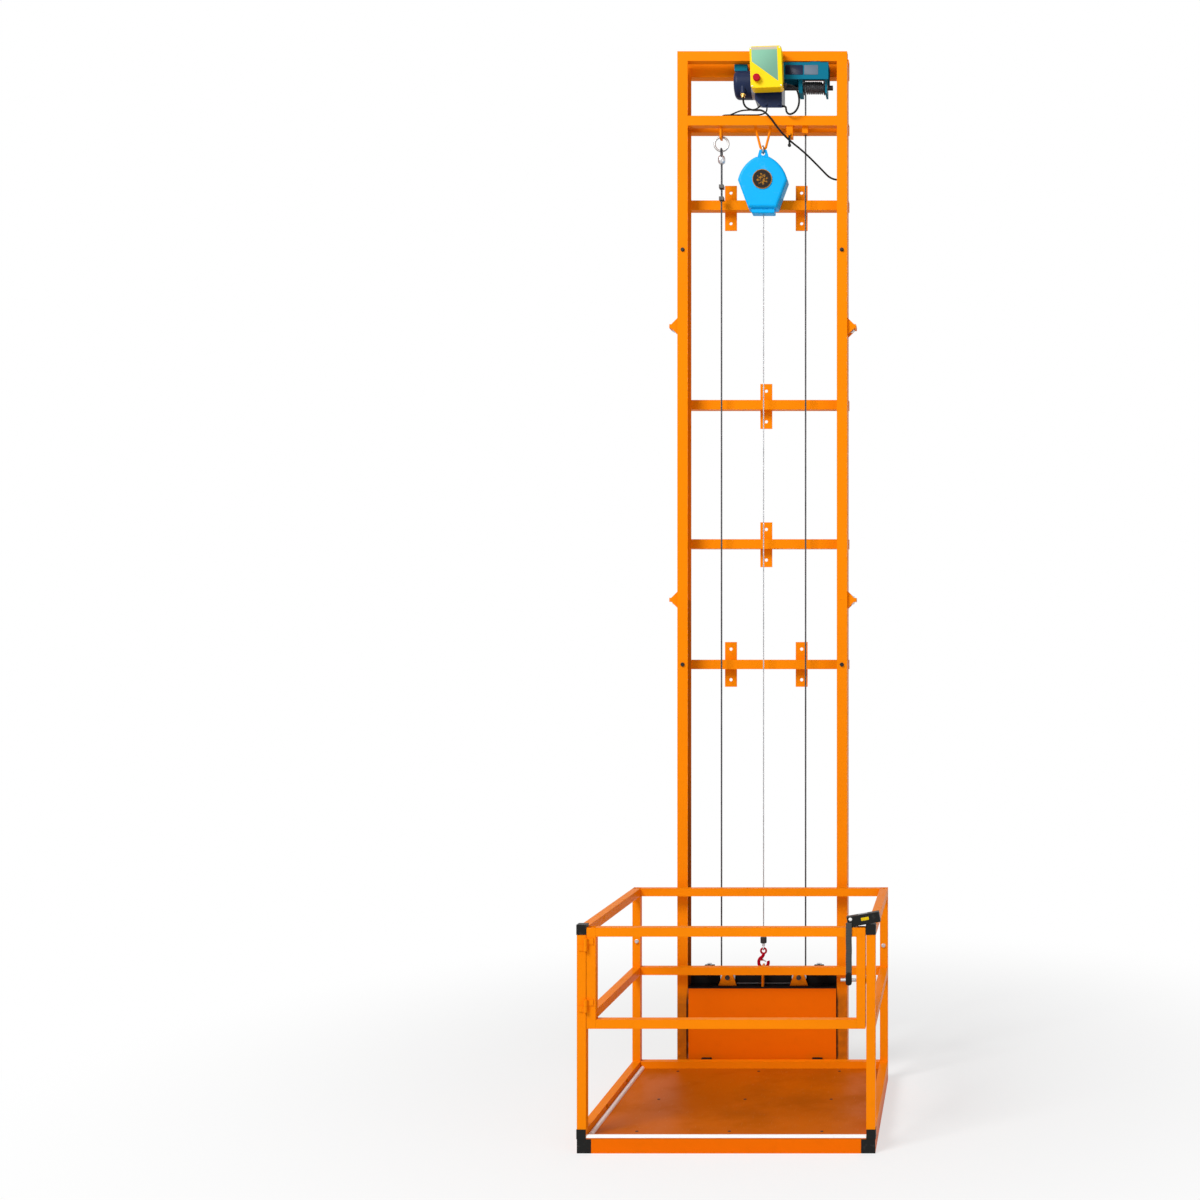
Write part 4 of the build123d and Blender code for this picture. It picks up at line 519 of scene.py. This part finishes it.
def turned(places, facing, rows, columns=24, flats=0):
    """Turned parts: point = place + radius * (cosine, sine) + height * facing, in each (radius, height) row.
    With flats, the radius is divided by the cosine of the angle from the nearest flat."""
    facing = unit(facing)
    first = unit(np.cross(facing, np.roll(facing, 1)))
    second = np.cross(facing, first)
    angle = 2 * np.pi * np.arange(columns) / columns
    rows = np.asarray(rows, float)
    sector = 2 * np.pi / flats if flats else 1
    swell = 1 / np.cos(angle % sector - sector / 2) if flats else np.ones(columns)
    circle = (np.outer(np.cos(angle), first) + np.outer(np.sin(angle), second)) * swell[:, None]
    shape = rows[:, 0, None, None] * circle + rows[:, 1, None, None] * facing
    return np.asarray(places, float)[:, None, None] + shape


def rounded_outline(width, height, corner, steps=5):
    """Anticlockwise outline of a rectangle: four quarter circles about the corner centres."""
    angle = np.linspace(0, np.pi / 2, steps) + np.arange(4)[:, None] * np.pi / 2
    middle_x = (width / 2 - corner) * np.array((1, -1, -1, 1))[:, None]
    middle_y = (height / 2 - corner) * np.array((1, 1, -1, -1))[:, None]
    points = (middle_x + corner * np.cos(angle), middle_y + corner * np.sin(angle))
    return np.stack(points, -1).reshape(-1, 2)


def slab(place, across, upward, size, thickness, corner, edge):
    """A plate: its outline carried from back to front, and drawn in by the edge at the front face."""
    across, upward = unit(across), unit(upward)
    outline = rounded_outline(*size, corner)
    inset = np.array((0, 0, edge))[:, None, None]
    depth = np.array((0, thickness - edge, thickness))[:, None, None]
    ring = outline[None] * (1 - inset / np.array(size) * 2)
    flat = ring[..., :1] * across + ring[..., 1:] * upward
    return np.asarray(place, float) + flat + depth * np.cross(across, upward)


def beads(starts, ends, radius, rows=15, columns=10):
    """Weld beads: a tube along each seam whose radius ripples as a cosine and closes at both ends."""
    starts, ends = np.asarray(starts, float), np.asarray(ends, float)
    share = np.linspace(0, 1, rows)
    path = starts[:, None] + share[:, None] * (ends - starts)[:, None]
    ahead = unit(ends - starts)
    side = unit(np.cross(ahead, (0.43, 0.57, 0.70)))
    up = np.cross(ahead, side)
    swell = radius * (1 + 0.16 * np.cos(np.arange(rows) * np.pi)) * (1 - 0.7 * np.abs(2 * share - 1) ** 12)
    angle = 2 * np.pi * np.arange(columns) / columns
    circle = np.cos(angle)[:, None] * side[:, None] + np.sin(angle)[:, None] * up[:, None]
    return path[:, :, None] + swell[:, None, None] * circle[:, None]


def shell_faces(shells, rows, columns):
    """Quads between neighbouring rings of each shell, and a cap on its first and last ring."""
    row = np.arange(rows - 1)[:, None] * columns
    column = np.arange(columns)
    following = (column + 1) % columns
    corners = (row + column, row + following, row + columns + following, row + columns + column)
    quads = np.stack(corners, -1).reshape(-1, 4)
    first = np.arange(shells)[:, None] * rows * columns
    sides = (quads[None] + first[:, :, None]).reshape(-1, 4)
    caps = np.concatenate((first + column[::-1], first + (rows - 1) * columns + column))
    return sides.tolist() + caps.tolist()


def shell_map(shells, columns, along):
    """Map of the same faces: share round the ring, and distance along the path."""
    column, near, far = np.broadcast_arrays(np.arange(columns), along[:-1, None], along[1:, None])
    around = np.stack((column, column + 1, column + 1, column), -1) / columns
    quads = np.stack((around, np.stack((near, near, far, far), -1)), -1).reshape(-1, 2)
    return np.concatenate((np.tile(quads, (shells, 1)), np.zeros((2 * shells * columns, 2))))


def add_object(name, data):
    """A new object in the scene with this data."""
    made = bpy.data.objects.new(name, data)
    bpy.context.collection.objects.link(made)
    return made


def make_piece(name, points, material, body, along=None, groove=None):
    """Put points, given by shell, row and column, into a mesh that rides on a body."""
    points = points if points.ndim == 4 else points[None]
    shells, rows, columns = points.shape[:3]
    mesh = bpy.data.meshes.new(name)
    mesh.from_pydata(points.reshape(-1, 3), [], shell_faces(shells, rows, columns))
    if along is not None:
        layer = mesh.uv_layers.new(name="run")
        layer.data.foreach_set("uv", shell_map(shells, columns, along).ravel())
    if groove is not None:
        layer = mesh.attributes.new("groove", "FLOAT", "POINT")
        layer.data.foreach_set("value", groove.ravel())
    mesh.shade_smooth()
    mesh.set_sharp_from_angle(angle=math.radians(40))
    mesh.materials.append(material)
    made = add_object(name, mesh)
    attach(made, body)
    return made


def route_curve(name, route):
    """A smooth spline with the route's points, in millimetres, as its control points."""
    curve = bpy.data.curves.new(name, "CURVE")
    curve.dimensions = "3D"
    spline = curve.splines.new("NURBS")
    spline.points.add(len(route) - 1)
    places = np.column_stack((np.array(route) * mm, np.ones(len(route))))
    spline.points.foreach_set("co", places.ravel())
    spline.order_u = 3
    spline.use_endpoint_u = True
    spline.resolution_u = 16
    return add_object(name, curve)


def route_points(name, route):
    """Points along the route's smooth spline, read from its mesh."""
    curve = route_curve(name, route)
    line = bpy.data.meshes.new_from_object(curve)
    points = np.empty(len(line.vertices) * 3)
    line.vertices.foreach_get("co", points)
    bpy.data.meshes.remove(line)
    bpy.data.objects.remove(curve)
    return points.reshape(-1, 3)


def even_steps(path, step):
    """The same path at equal steps of about this length, and the distance along it."""
    distance_along = np.concatenate(((0,), np.cumsum(np.linalg.norm(np.diff(path, axis=0), axis=1))))
    along = np.linspace(0, distance_along[-1], max(2, int(distance_along[-1] / step) + 1))
    return np.stack([np.interp(along, distance_along, path[:, k]) for k in range(3)], -1), along


def stranded(name, node, path, diameter, reference, material, body):
    """Wire rope in place of a node: strands of radius r on a circle of radius 2r that turn once in each lay.
    At an angle a from a strand's middle the outline is 2r cos a + sqrt(r^2 - (2r sin a)^2)."""
    ropes = bpy.context.scene.lift_ropes
    lay = ropes.lay_ratio * diameter
    path, along = even_steps(path, lay / 12)
    strand = diameter / 6
    columns = 4 * ropes.strands
    angle = 2 * np.pi * np.arange(columns) / columns
    sector = 2 * np.pi / ropes.strands
    off = angle % sector - sector / 2
    inside = np.maximum(strand ** 2 - (2 * strand * np.sin(off)) ** 2, 0)
    outline = 2 * strand * np.cos(off) + np.sqrt(inside)
    turn = angle + 2 * np.pi * along[:, None] / lay
    rings = np.stack((np.cos(turn), np.sin(turn)), -1) * outline[:, None]
    depth = (outline.max() - outline) / np.ptp(outline)
    groove = np.broadcast_to(depth, (len(path), columns))
    made = make_piece(name, carry(path, rings, reference), material, body, along / lay, groove)
    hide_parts(node)
    return made


# Ropes, leads and strap, with their routes in millimetres

power_route = (
    (-80, -36, 4075), (-80, -36, 4053), (-70, -38, 4034), (-52, -41, 4022), (-28, -46, 4017),
    (3, -52, 4016), (36, -56, 3984), (64, -56, 3943), (105, -52, 3897), (174, -34, 3848),
    (241, -20, 3784), (284, 0, 3744), (314, 0, 3744),
)
loop_route = (
    (107.26, -74, 4109.83), (125.24, -74, 4110.46), (148, -74, 4094), (158, -72, 4060), (156, -70, 4026),
    (140, -64, 4002), (117, -58, 3994), (103, -50, 4006), (99, -40, 4024), (97, -30, 4040), (82, -30, 4040),
)
thin_route = (
    (-13, -15, 4046), (-25.02, -15, 4033.98), (-50, -18, 4029), (-90, -18, 4028), (-126, -16, 4014),
    (-150, -14, 4004), (-165, -17, 4001), (-168, -27, 4001), (-157, -35, 4001), (-126, -36, 4001),
    (-44, -36, 4001), (-12, -34, 4002), (8, -31, 4009), (18, -28, 4021), (18, -28, 4033.65),
)
dead_end_route = (
    (-176, 0, 3607.7), (-176, 0, 3700), (-176, 0, 3770), (-176, 0, 3804), (-176, -15, 3850),
    (-176, -15, 3873), (-176, 15, 3873), (-176, 15, 3850), (-176, 8, 3804), (-176, 8, 3770),
    (-176, 8, 3700), (-176, 8, 3659.7),
)
strap_route = (
    (432, -932.4, 811.5), (432, -932.4, 795), (432.3, -932.5, 780), (431.4, -932.4, 750),
    (432.8, -932.6, 715), (431.4, -932.4, 685), (432.4, -932.4, 660), (432, -932.4, 630),
)
ferrule_place = (-176, 3, 3828)
ferrule_rows = ((9, -17), (13.5, -13), (15.5, -6), (15.5, 6), (13.5, 13), (9, 17))


class LIFT_OT_leads(Operator):
    """Lay the three electric leads of the hoist"""

    bl_idname = "lift.leads"
    bl_label = "Leads"

    def execute(self, context):
        skin = dull_rubber("lead_rubber", context.scene.lift_colours.rubber)
        leads = (
            ("power_lead_cord", "power_lead", power_route, 8 * mm, 547.1 * mm, "hanging"),
            ("loop_lead_cord", "control_leads", loop_route, 8 * mm, 237.5 * mm, "loose"),
            ("thin_lead_cord", "control_leads", thin_route, 6 * mm, 377.5 * mm, "loose"),
        )
        for name, node, route, diameter, length, lay in leads:
            lead = route_curve(name, route)
            lead.data.bevel_depth = diameter / 2
            lead.data.bevel_resolution = 5
            lead.data.use_fill_caps = True
            lead.data.materials.append(skin)
            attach(lead, "mast")
            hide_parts(node)
        return {"FINISHED"}


class LIFT_OT_ropes(Operator):
    """Twist the hoist rope and the arrester's cable from their strands"""

    bl_idname = "lift.ropes"
    bl_label = "Ropes"

    def falls(self, rope, cable, diameters):
        """The straight falls, each with a mesh of its own."""
        travel = next(joint for joint in frame["joints"] if joint["name"] == "cage_lift")["range_m"][1]
        runs = (
            ("left_fall_strands", "rope_left_fall", rope, diameters[0]),
            ("right_fall_strands", "rope_right_fall", rope, diameters[0]),
            ("cable_strands", "arrester_cable", cable, diameters[1]),
        )
        for name, node, skin, diameter in runs:
            low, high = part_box(node)
            spot = middle(node)
            path = np.array(((spot.x, spot.y, low.z), (spot.x, spot.y, high.z)))
            made = stranded(name, node, path, diameter, (1, 0, 0), skin, "mast")
            1 - travel / (high.z - low.z)
            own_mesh(made)

    def under_run(self, rope, diameter):
        """Quarter circle round one pulley, a level run, and a quarter circle round the other."""
        left, right = middle("left_pulley"), middle("right_pulley")
        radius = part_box("rope_under_run")[1].x - diameter / 2 - right.x
        quarter = np.linspace(0, np.pi / 2, 12)
        arc = np.stack((np.cos(quarter), 0 * quarter, np.sin(quarter)), -1) * radius
        path = np.concatenate((np.array(left) - arc, np.array(right) + arc[::-1] * (1, 1, -1)))
        stranded("under_run_strands", "rope_under_run", path, diameter, (0, 1, 0), rope, "cage")

    def winding(self, rope, diameter):
        """Helix round the drum: it steps one pitch along the drum for each full turn."""
        turns, pitch, lead_in = 9, 7.8 * mm, 7 * mm
        low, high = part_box("rope_winding")
        radius = (high.y - low.y - diameter) / 2
        start = low.x + diameter / 2
        centre = middle("rope_drum")
        turn = np.linspace(0, turns, 60 * turns)
        angle = 2 * np.pi * turn
        helix = np.stack((
            start + pitch * turn,
            low.y + diameter / 2 + radius * (1 - np.cos(angle)),
            centre.z + radius * np.sin(angle),
        ), -1)
        path = np.concatenate((helix[:1] - (0, 0, lead_in), helix, helix[-1:] + (0, 0, lead_in)))
        stranded("winding_strands", "rope_winding", path, diameter, (1, 0, 0), rope, "drum")

    def execute(self, context):
        ropes = context.scene.lift_ropes
        rope = laid_wire("rope_wire", (0.12, 0.12, 0.125), (0.02, 0.02, 0.02))
        cable = laid_wire("cable_wire", (0.62, 0.63, 0.65), (0.20, 0.20, 0.21))
        wound = laid_wire("winding_wire", (0.13, 0.13, 0.14), (0.02, 0.02, 0.02))
        self.falls(rope, cable, (ropes.rope_diameter, ropes.cable_diameter))
        self.under_run(rope, ropes.rope_diameter)
        self.winding(wound, ropes.rope_diameter)
        path = route_points("dead_end_route", dead_end_route)
        stranded("dead_end_strands", "rope_dead_end", path, ropes.rope_diameter, (1, 0, 0), rope, "mast")
        ferrule = turned([np.array(ferrule_place) * mm], (0, 0, 1), np.array(ferrule_rows) * mm)
        make_piece("rope_ferrule", ferrule, plated_steel("ferrule_zinc"), "mast")
        return {"FINISHED"}


class LIFT_OT_strap(Operator):
    """Hang the handset's wrist strap in front of the gate rail"""

    bl_idname = "lift.strap"
    bl_label = "Strap"

    def execute(self, context):
        rubber = context.scene.lift_colours.rubber
        width, thickness = 21 * mm, 2.8 * mm
        end_length, end_depth, end_rows = 46 * mm, 9 * mm, 17
        rail_clearance = 0.4 * mm
        path, along = even_steps(route_points("strap_route", strap_route), 2 * mm)
        outline = rounded_outline(thickness, width, thickness * 0.48)
        rings = np.broadcast_to(outline, (len(path), *outline.shape))
        web = woven_web("strap_web", rubber)
        band = carry(path, rings, (1, 0, 0))
        strap = make_piece("strap_band", band, web, "gate", along / along[-1])
        share = np.linspace(-1, 1, end_rows)
        swell = (1 - np.abs(share) ** 6) ** 0.5 * 0.97 + 0.03
        hang = np.column_stack(np.broadcast_arrays(
            path[-1, 0],
            cage_low.y - end_depth / 2 - rail_clearance,
            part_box("handset_strap")[0].z + end_length / 2 * (1 + share)))
        block = rounded_outline(end_depth, width + 1 * mm, 3.4 * mm) * swell[:, None, None]
        skin = dull_rubber("strap_end_rubber", rubber)
        end = make_piece("strap_end", carry(hang, block, (1, 0, 0)), skin, "gate")
        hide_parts("handset_strap")
        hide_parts("handset_strap")
        return {"FINISHED"}


# Trim

class LIFT_OT_edging(Operator):
    """Lay the white half-round edging along the front and left edge of the cage floor"""

    bl_idname = "lift.edging"
    bl_label = "Floor edging"

    def execute(self, context):
        half_width, height = 9 * mm, 10 * mm
        white = moulded_plastic("edging_white", (0.95, 0.95, 0.94), 0.4)
        angle = np.linspace(0, np.pi, 13)
        profile = np.stack((np.cos(angle) * half_width, np.sin(angle) * height), -1)
        inner = cage_high.x - tube
        front = cage_low.y + half_width
        left = half_width - inner
        runs = {
            "edging_front": ((-inner, front, floor_top), (inner, front, floor_top)),
            "edging_left": ((left, cage_low.y + tube, floor_top), (left, cage_high.y - tube, floor_top)),
        }
        for name, ends in runs.items():
            path = even_steps(np.array(ends), 40 * mm)[0]
            make_piece(name, carry(path, profile[None], (0, 0, -1)), white, "cage")
        return {"FINISHED"}


class LIFT_OT_plates(Operator):
    """Fix the bare plates on the hoist's channel, and the bare label and the lamp on the handset"""

    bl_idname = "lift.plates"
    bl_label = "Bare plates"

    def execute(self, context):
        colours = context.scene.lift_colours
        front, level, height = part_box("hoist_frame")[0].y, 4189 * mm, 40 * mm
        navy = cast_iron_paint("plate_navy", tint(colours.motor_paint, 0.8))
        grey = moulded_plastic("plate_grey", srgb(96, 112, 128), 0.45)
        plates = (
            ("plate_left", 132 * mm, 74 * mm, navy, "navy_paint"),
            ("plate_right", 203 * mm, 58 * mm, grey, "grey_plastic"),
        )
        for name, x, width, skin, slot in plates:
            spot, size = (x, front, level), (width, height)
            plate = slab(spot, (1, 0, 0), (0, 0, 1), size, 1.2 * mm, 3 * mm, 0.4 * mm)
            make_piece(name, plate, skin, "mast")
        along, upward = leaning(math.radians(10.0))
        corner = np.array((429 * mm, cage_low.y, 794.3 * mm))
        yellow = moulded_plastic("label_yellow", tint(colours.box_yellow, 0.7), 0.3)
        spot = corner + along * 64 * mm + upward * 20 * mm
        label = slab(spot, along, upward, (28 * mm, 11 * mm), 0.8 * mm, 2.5 * mm, 0.3 * mm)
        make_piece("handset_label", label, yellow, "gate")
        white = moulded_plastic("lamp_white", (0.85, 0.85, 0.83), 0.15)
        spot = corner + along * 13 * mm + upward * 27 * mm
        dome = turned(spot[None], (0, -1, 0), dome_rows(6.5 * mm, 2.4 * mm))
        make_piece("handset_lamp", dome, white, "gate")
        return {"FINISHED"}


def dome_rows(radius, height):
    """Radius and height of a domed head, from its edge to its top."""
    angle = np.linspace(0, 0.98, 7) * np.pi / 2
    return np.stack((radius * np.cos(angle), height * np.sin(angle)), -1)


def bolt_rows(flats, height):
    """Half the flats and height of a bolt head, with its top drawn in by a chamfer."""
    return ((flats, 0), (flats, height * 0.82), (flats * 0.9, height))


# Places of the fasteners in millimetres

upright_bolt_levels = (1715, 3440)
gearbox_bolts = ((-18, 4138), (70, 4138), (70, 4042), (16, 4042))
rear_post_bolts = ((-1, 577), (1, 560))
toe_rail_bolts = ((-640, 74), (-330, 74))
floor_screw_columns = (-330, 0, 330)
floor_screw_rows = (-860, -500, -140)
cover_screws = ((-59, -78), (-59, 78), (59, -78), (59, 78))
motor_screw_angles = (0.8, 2.4, 3.9, 5.5)


class LIFT_OT_fasteners(Operator):
    """Set the bolts, washers and screws of mast, hoist, control box and cage"""

    bl_idname = "lift.fasteners"
    bl_label = "Fasteners"

    def hex_bolts(self, name, places, facing, flats, skin, body):
        """Hexagon heads, each on its washer."""
        rise = 1.8 * mm
        rows = ((flats * 1.3, 0), (flats * 1.3, rise * 0.8), (flats * 1.2, rise))
        washers = turned(places, facing, rows)
        raised = np.array(places) + np.array(facing) * rise
        heads = turned(raised, facing, bolt_rows(flats, flats * 0.85), flats=6)
        make_piece(name + "_washers", washers, skin, body)
        make_piece(name + "_heads", heads, skin, body)

    def screws(self, name, places, facing, radius, height, skin, body):
        """Domed heads."""
        heads = turned(places, facing, dome_rows(radius, height))
        make_piece(name, heads, skin, body)

    def execute(self, context):
        colours = context.scene.lift_colours
        zinc = plated_steel("fastener_zinc")
        dark = plated_steel("fastener_black", (0.035, 0.034, 0.033), 0.45)
        painted = powder_coat("fastener_orange", tint(colours.frame_paint, 0.6))
        navy = cast_iron_paint("bolt_navy", colours.motor_paint)
        forward = (0, -1, 0)
        column = upright_inner + 21 * mm
        spots = [(side * column, upright_front, z * mm) for side in (-1, 1) for z in upright_bolt_levels]
        self.hex_bolts("upright", spots, forward, 6.5 * mm, dark, "mast")
        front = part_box("gearbox_housing")[0].y
        spots = [(x * mm, front, z * mm) for x, z in gearbox_bolts]
        self.hex_bolts("gearbox", spots, forward, 5 * mm, navy, "mast")
        column, front = cage_high.x - 18 * mm, cage_high.y - tube
        spots = [(side * column, front, z * mm) for side, z in rear_post_bolts]
        self.hex_bolts("rear_post", spots, forward, 6.5 * mm, zinc, "cage")
        spots = [(tube - cage_high.x, y * mm, z * mm) for y, z in toe_rail_bolts]
        self.screws("toe_rail_bolts", spots, (1, 0, 0), 8 * mm, 4 * mm, painted, "cage")
        spots = [(x * mm, y * mm, floor_top) for x in floor_screw_columns for y in floor_screw_rows]
        self.screws("floor_screws", spots, (0, 0, 1), 6 * mm, 1.6 * mm, dark, "cage")
        across, upward = leaning(box_tilt)
        centre = np.array((box_middle[0], box_front, box_middle[1]))
        spots = [centre + across * x * mm + upward * z * mm for x, z in cover_screws]
        self.screws("cover_screws", spots, forward, 3.2 * mm, 1.2 * mm, zinc, "mast")
        end, axis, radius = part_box("hoist_motor")[0].x, middle("hoist_motor"), 30 * mm
        spots = [
            (end, axis.y + radius * math.cos(angle), axis.z + radius * math.sin(angle))
            for angle in motor_screw_angles
        ]
        self.screws("motor_screws", spots, (-1, 0, 0), 4 * mm, 2 * mm, zinc, "mast")
        return {"FINISHED"}


class LIFT_OT_welds(Operator):
    """Run the weld beads in the corners of cage, gate and mast"""

    bl_idname = "lift.welds"
    bl_label = "Welds"

    def execute(self, context):
        skin = powder_coat("weld_paint", tint(context.scene.lift_colours.frame_paint, 0.94), 0.4)
        bead = 2.4 * mm
        toe, knee, hand = 50 * mm, 438 * mm, 762 * mm
        gate_sides = (-491 * mm + tube, 490 * mm - tube)
        wall_beam_tops = (1735 * mm, 2243 * mm, 2830 * mm, 3671 * mm)
        beam = 40 * mm
        inner, outer = cage_high.x - tube, cage_high.x
        front, rear = cage_low.y + tube, cage_high.y - tube
        seams = []
        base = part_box("cage_base_frame")[1].z
        for z in (toe + tube, knee, knee + tube, hand, base):
            posts = (rear,) if z == base else (front, rear)
            for side in (-1, 1):
                seams += [((side * inner, y, z), (side * outer, y, z)) for y in posts]
                seams.append(((side * inner, rear, z), (side * inner, cage_high.y, z)))
        make_piece("cage_welds", beads(*zip(*seams), bead), skin, "cage")
        corners = [(x, z) for x in gate_sides for z in (knee + tube, hand)]
        seams = [((x, cage_low.y, z), (x, cage_low.y + tube, z)) for x, z in corners]
        make_piece("gate_welds", beads(*zip(*seams), bead), skin, "gate")
        beam_low, beam_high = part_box("hoist_beams")
        front_beam_back, rear_face, weld_end = -6 * mm, -upright_front, half_mast - 1 * mm
        seams = []
        for side in (-1, 1):
            mouth = side * upright_inner
            for z in (beam_low.z, beam_high.z):
                seams.append(((mouth, upright_front, z), (mouth, front_beam_back, z)))
            for top in wall_beam_tops:
                for z in (top, top - beam):
                    seams.append(((mouth, rear_face, z), (side * weld_end, rear_face, z)))
        make_piece("mast_welds", beads(*zip(*seams), bead), skin, "mast")
        return {"FINISHED"}


# Paint of the CAD nodes

class LIFT_OT_paint(Operator):
    """Give every node of the frame the finish of its slot, or a finish of its own"""

    bl_idname = "lift.paint"
    bl_label = "Paint"

    def execute(self, context):
        colours = context.scene.lift_colours
        rubber = colours.rubber
        black = (0.012, 0.011, 0.011)
        brass = (0.72, 0.47, 0.14)
        by_slot = {
            "orange_paint": powder_coat("frame_orange", colours.frame_paint),
            # Floor brown: painted shade on the floor's upward face; its scuffs and smears are real wear.
            "floor_paint": worn_floor("floor_brown", colours.floor_paint),
            # The dark paint slot's near-black, on the carriage's crossbar, stands in for the shade in the gaps
            # above the carriage plate: painted shade.
            "dark_paint": powder_coat("carriage_shade_black", black, 0.42, (0.10, 0.09, 0.08), 0.4),
            "teal_paint": powder_coat("hoist_teal", colours.hoist_paint, 0.36, (0.05, 0.09, 0.10), 0.5),
            "navy_paint": cast_iron_paint("motor_navy", colours.motor_paint),
            "steel": plated_steel("plated_steel"),
            "wire_rope": plated_steel("rope_core", (0.20, 0.20, 0.21), 0.45),
            "yellow_plastic": moulded_plastic("box_yellow", colours.box_yellow, 0.34),
            "red_plastic": moulded_plastic("stop_red", colours.stop_red, 0.28),
            "red_paint": powder_coat("hook_red", colours.hook_red, 0.36, (0.30, 0.28, 0.28), 0.6),
            "brass": plated_steel("brass", brass, 0.28),
            "black_rubber": dull_rubber("cap_rubber", rubber),
            "black_plastic": moulded_plastic("handset_black", tint(rubber, 1.3), 0.42, 1200.0),
            "grey_plastic": moulded_plastic("switch_grey", (0.30, 0.31, 0.32), 0.45),
            "blue_plastic": moulded_plastic("arrester_blue", colours.arrester_blue, 0.36),
        }
        # Painted shade: a darker copy of the frame orange for the carriage plate and the cage base.
        shaded_orange = powder_coat("frame_shaded_orange", colours.shaded_frame_paint)
        own = {
            "control_cover": box_cover("cover_yellow", colours.box_yellow, colours.box_panel),
            "arrester_front_shell": arrester_shell("arrester_front", colours.arrester_blue, colours.gold),
            "cable_end": hook_end("cable_end", (0.60, 0.61, 0.63), rubber),
            "hoist_motor": motor_coat("motor_body", colours.motor_paint, (0.38, 0.39, 0.42)),
            "cable_glands": gland_coat("gland_coat", brass, rubber),
            # Painted shade on the lower uprights beside the carriage and inside their channels.
            "lower_uprights": powder_coat("upright_orange", colours.frame_paint, painted_shade=shade_beside_carriage),
            "carriage_plate": shaded_orange,
            "cage_base_frame": shaded_orange,
            "carriage_axles": plated_steel("axle_steel", (0.07, 0.065, 0.06), 0.45),
            "rope_clips": plated_steel("clip_steel", (0.10, 0.095, 0.09), 0.5),
            "rope_drum": plated_steel("drum_steel", (0.06, 0.06, 0.065), 0.45),
            "hanging_rings": plated_steel("ring_steel", (0.46, 0.45, 0.44), 0.3),
        }
        for part in frame["record"]["subparts"]:
            node = frame["nodes"][part["node"]]
            node.data.materials.clear()
            node.data.materials.append(own.get(part["node"], by_slot[part["material_slot"]]))
        return {"FINISHED"}


# Stage

def lamp(name, place, aim, size, power):
    """A square soft lamp that faces a point."""
    data = bpy.data.lights.new(name, "AREA")
    data.size = size
    data.energy = power
    made = add_object(name, data)
    made.location = place
    facing = made.location - Vector(aim)
    made.rotation_euler = facing.to_track_quat("Z", "Y").to_euler()


class LIFT_OT_stage(Operator):
    """Set up the pale floor, the soft lamps, the white surround and the camera"""

    bl_idname = "lift.stage"
    bl_label = "Stage"

    def surround(self, sky):
        """White to the camera and in reflections, and an even light of its own strength otherwise."""
        world = bpy.data.worlds.new("surround")
        graph = Graph(world)
        background = graph.tree.nodes["Background"]
        graph.feed(background.inputs["Color"], (1, 1, 1))
        graph.feed(background.inputs["Strength"], graph.seen() * (1 - sky) + sky)
        bpy.context.scene.world = world

    def floor(self):
        """A wide pale floor that catches the lift's shadow."""
        half, level = 40.0, -0.5 * mm
        mesh = bpy.data.meshes.new("stage_floor")
        corners = [(x * half, y * half, level) for x, y in ((-1, -1), (1, -1), (1, 1), (-1, 1))]
        mesh.from_pydata(corners, [], [(0, 1, 2, 3)])
        finish = Finish("stage_floor", Base_Color=(0.88, 0.88, 0.88), Roughness=0.9, Specular_IOR_Level=0.1)
        radius = (finish.x * finish.x + finish.y * finish.y) ** 0.5
        white = finish.node("ShaderNodeEmission", {}, {"Strength": 1.0})
        pale = finish.seen() * (radius.rise(0.6, 3.2) * 0.4 + 0.6)
        skin = finish.node("ShaderNodeMixShader", {}, {0: pale, 1: finish.shader, 2: white})
        finish.feed(finish.tree.nodes["Material Output"].inputs["Surface"], skin)
        mesh.materials.append(finish.material)
        add_object("stage_floor", mesh)

    def execute(self, context):
        scene = context.scene
        stage = scene.lift_stage
        data = bpy.data.cameras.new("camera")
        data.sensor_width = 36
        data.lens = stage.lens
        data.shift_x, data.shift_y = stage.shift
        scene.camera = add_object("camera", data)
        scene.camera.location = stage.camera_place
        scene.camera.rotation_euler = (math.radians(90), 0, 0)
        lamp("key", (-4.8, -7.0, 8.5), (0, -0.3, 2.0), 4.5, stage.key_power)
        lamp("fill", (4.6, -4.8, 3.2), (0, -0.3, 1.8), 4.0, stage.fill_power)
        self.surround(stage.sky)
        self.floor()
        scene.view_settings.view_transform = "Standard"
        return {"FINISHED"}


class LIFT_PT_panel(Panel):
    """Sidebar list of the lift's steps and settings"""

    bl_label = "Cargo lift"
    bl_idname = "LIFT_PT_panel"
    bl_space_type = "VIEW_3D"
    bl_region_type = "UI"
    bl_category = "Cargo lift"

    def draw(self, context):
        for setting in settings:
            group = getattr(context.scene, setting)
            for name in group.bl_rna.properties.keys():
                if name not in ("rna_type", "name"):
                    self.layout.prop(group, name)
        for step in steps:
            self.layout.operator(step.bl_idname)


steps = (
    LIFT_OT_leads, LIFT_OT_ropes, LIFT_OT_strap, LIFT_OT_edging, LIFT_OT_plates, LIFT_OT_fasteners,
    LIFT_OT_welds, LIFT_OT_paint, LIFT_OT_stage,
)
settings = {"lift_colours": LiftColours, "lift_ropes": LiftRopes, "lift_stage": LiftStage}
classes = (*settings.values(), *steps, LIFT_PT_panel)


def register():
    """Register the classes and hang the settings on the scene."""
    for part in classes:
        bpy.utils.register_class(part)
    for name, group in settings.items():
        setattr(bpy.types.Scene, name, PointerProperty(type=group))


def unregister():
    """Take the settings and the classes away again."""
    for name in settings:
        delattr(bpy.types.Scene, name)
    for part in reversed(classes):
        bpy.utils.unregister_class(part)


def main():
    """Register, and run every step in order."""
    register()
    for step in steps:
        getattr(bpy.ops.lift, step.bl_idname.split(".")[1])()


if __name__ == "__main__":
    main()
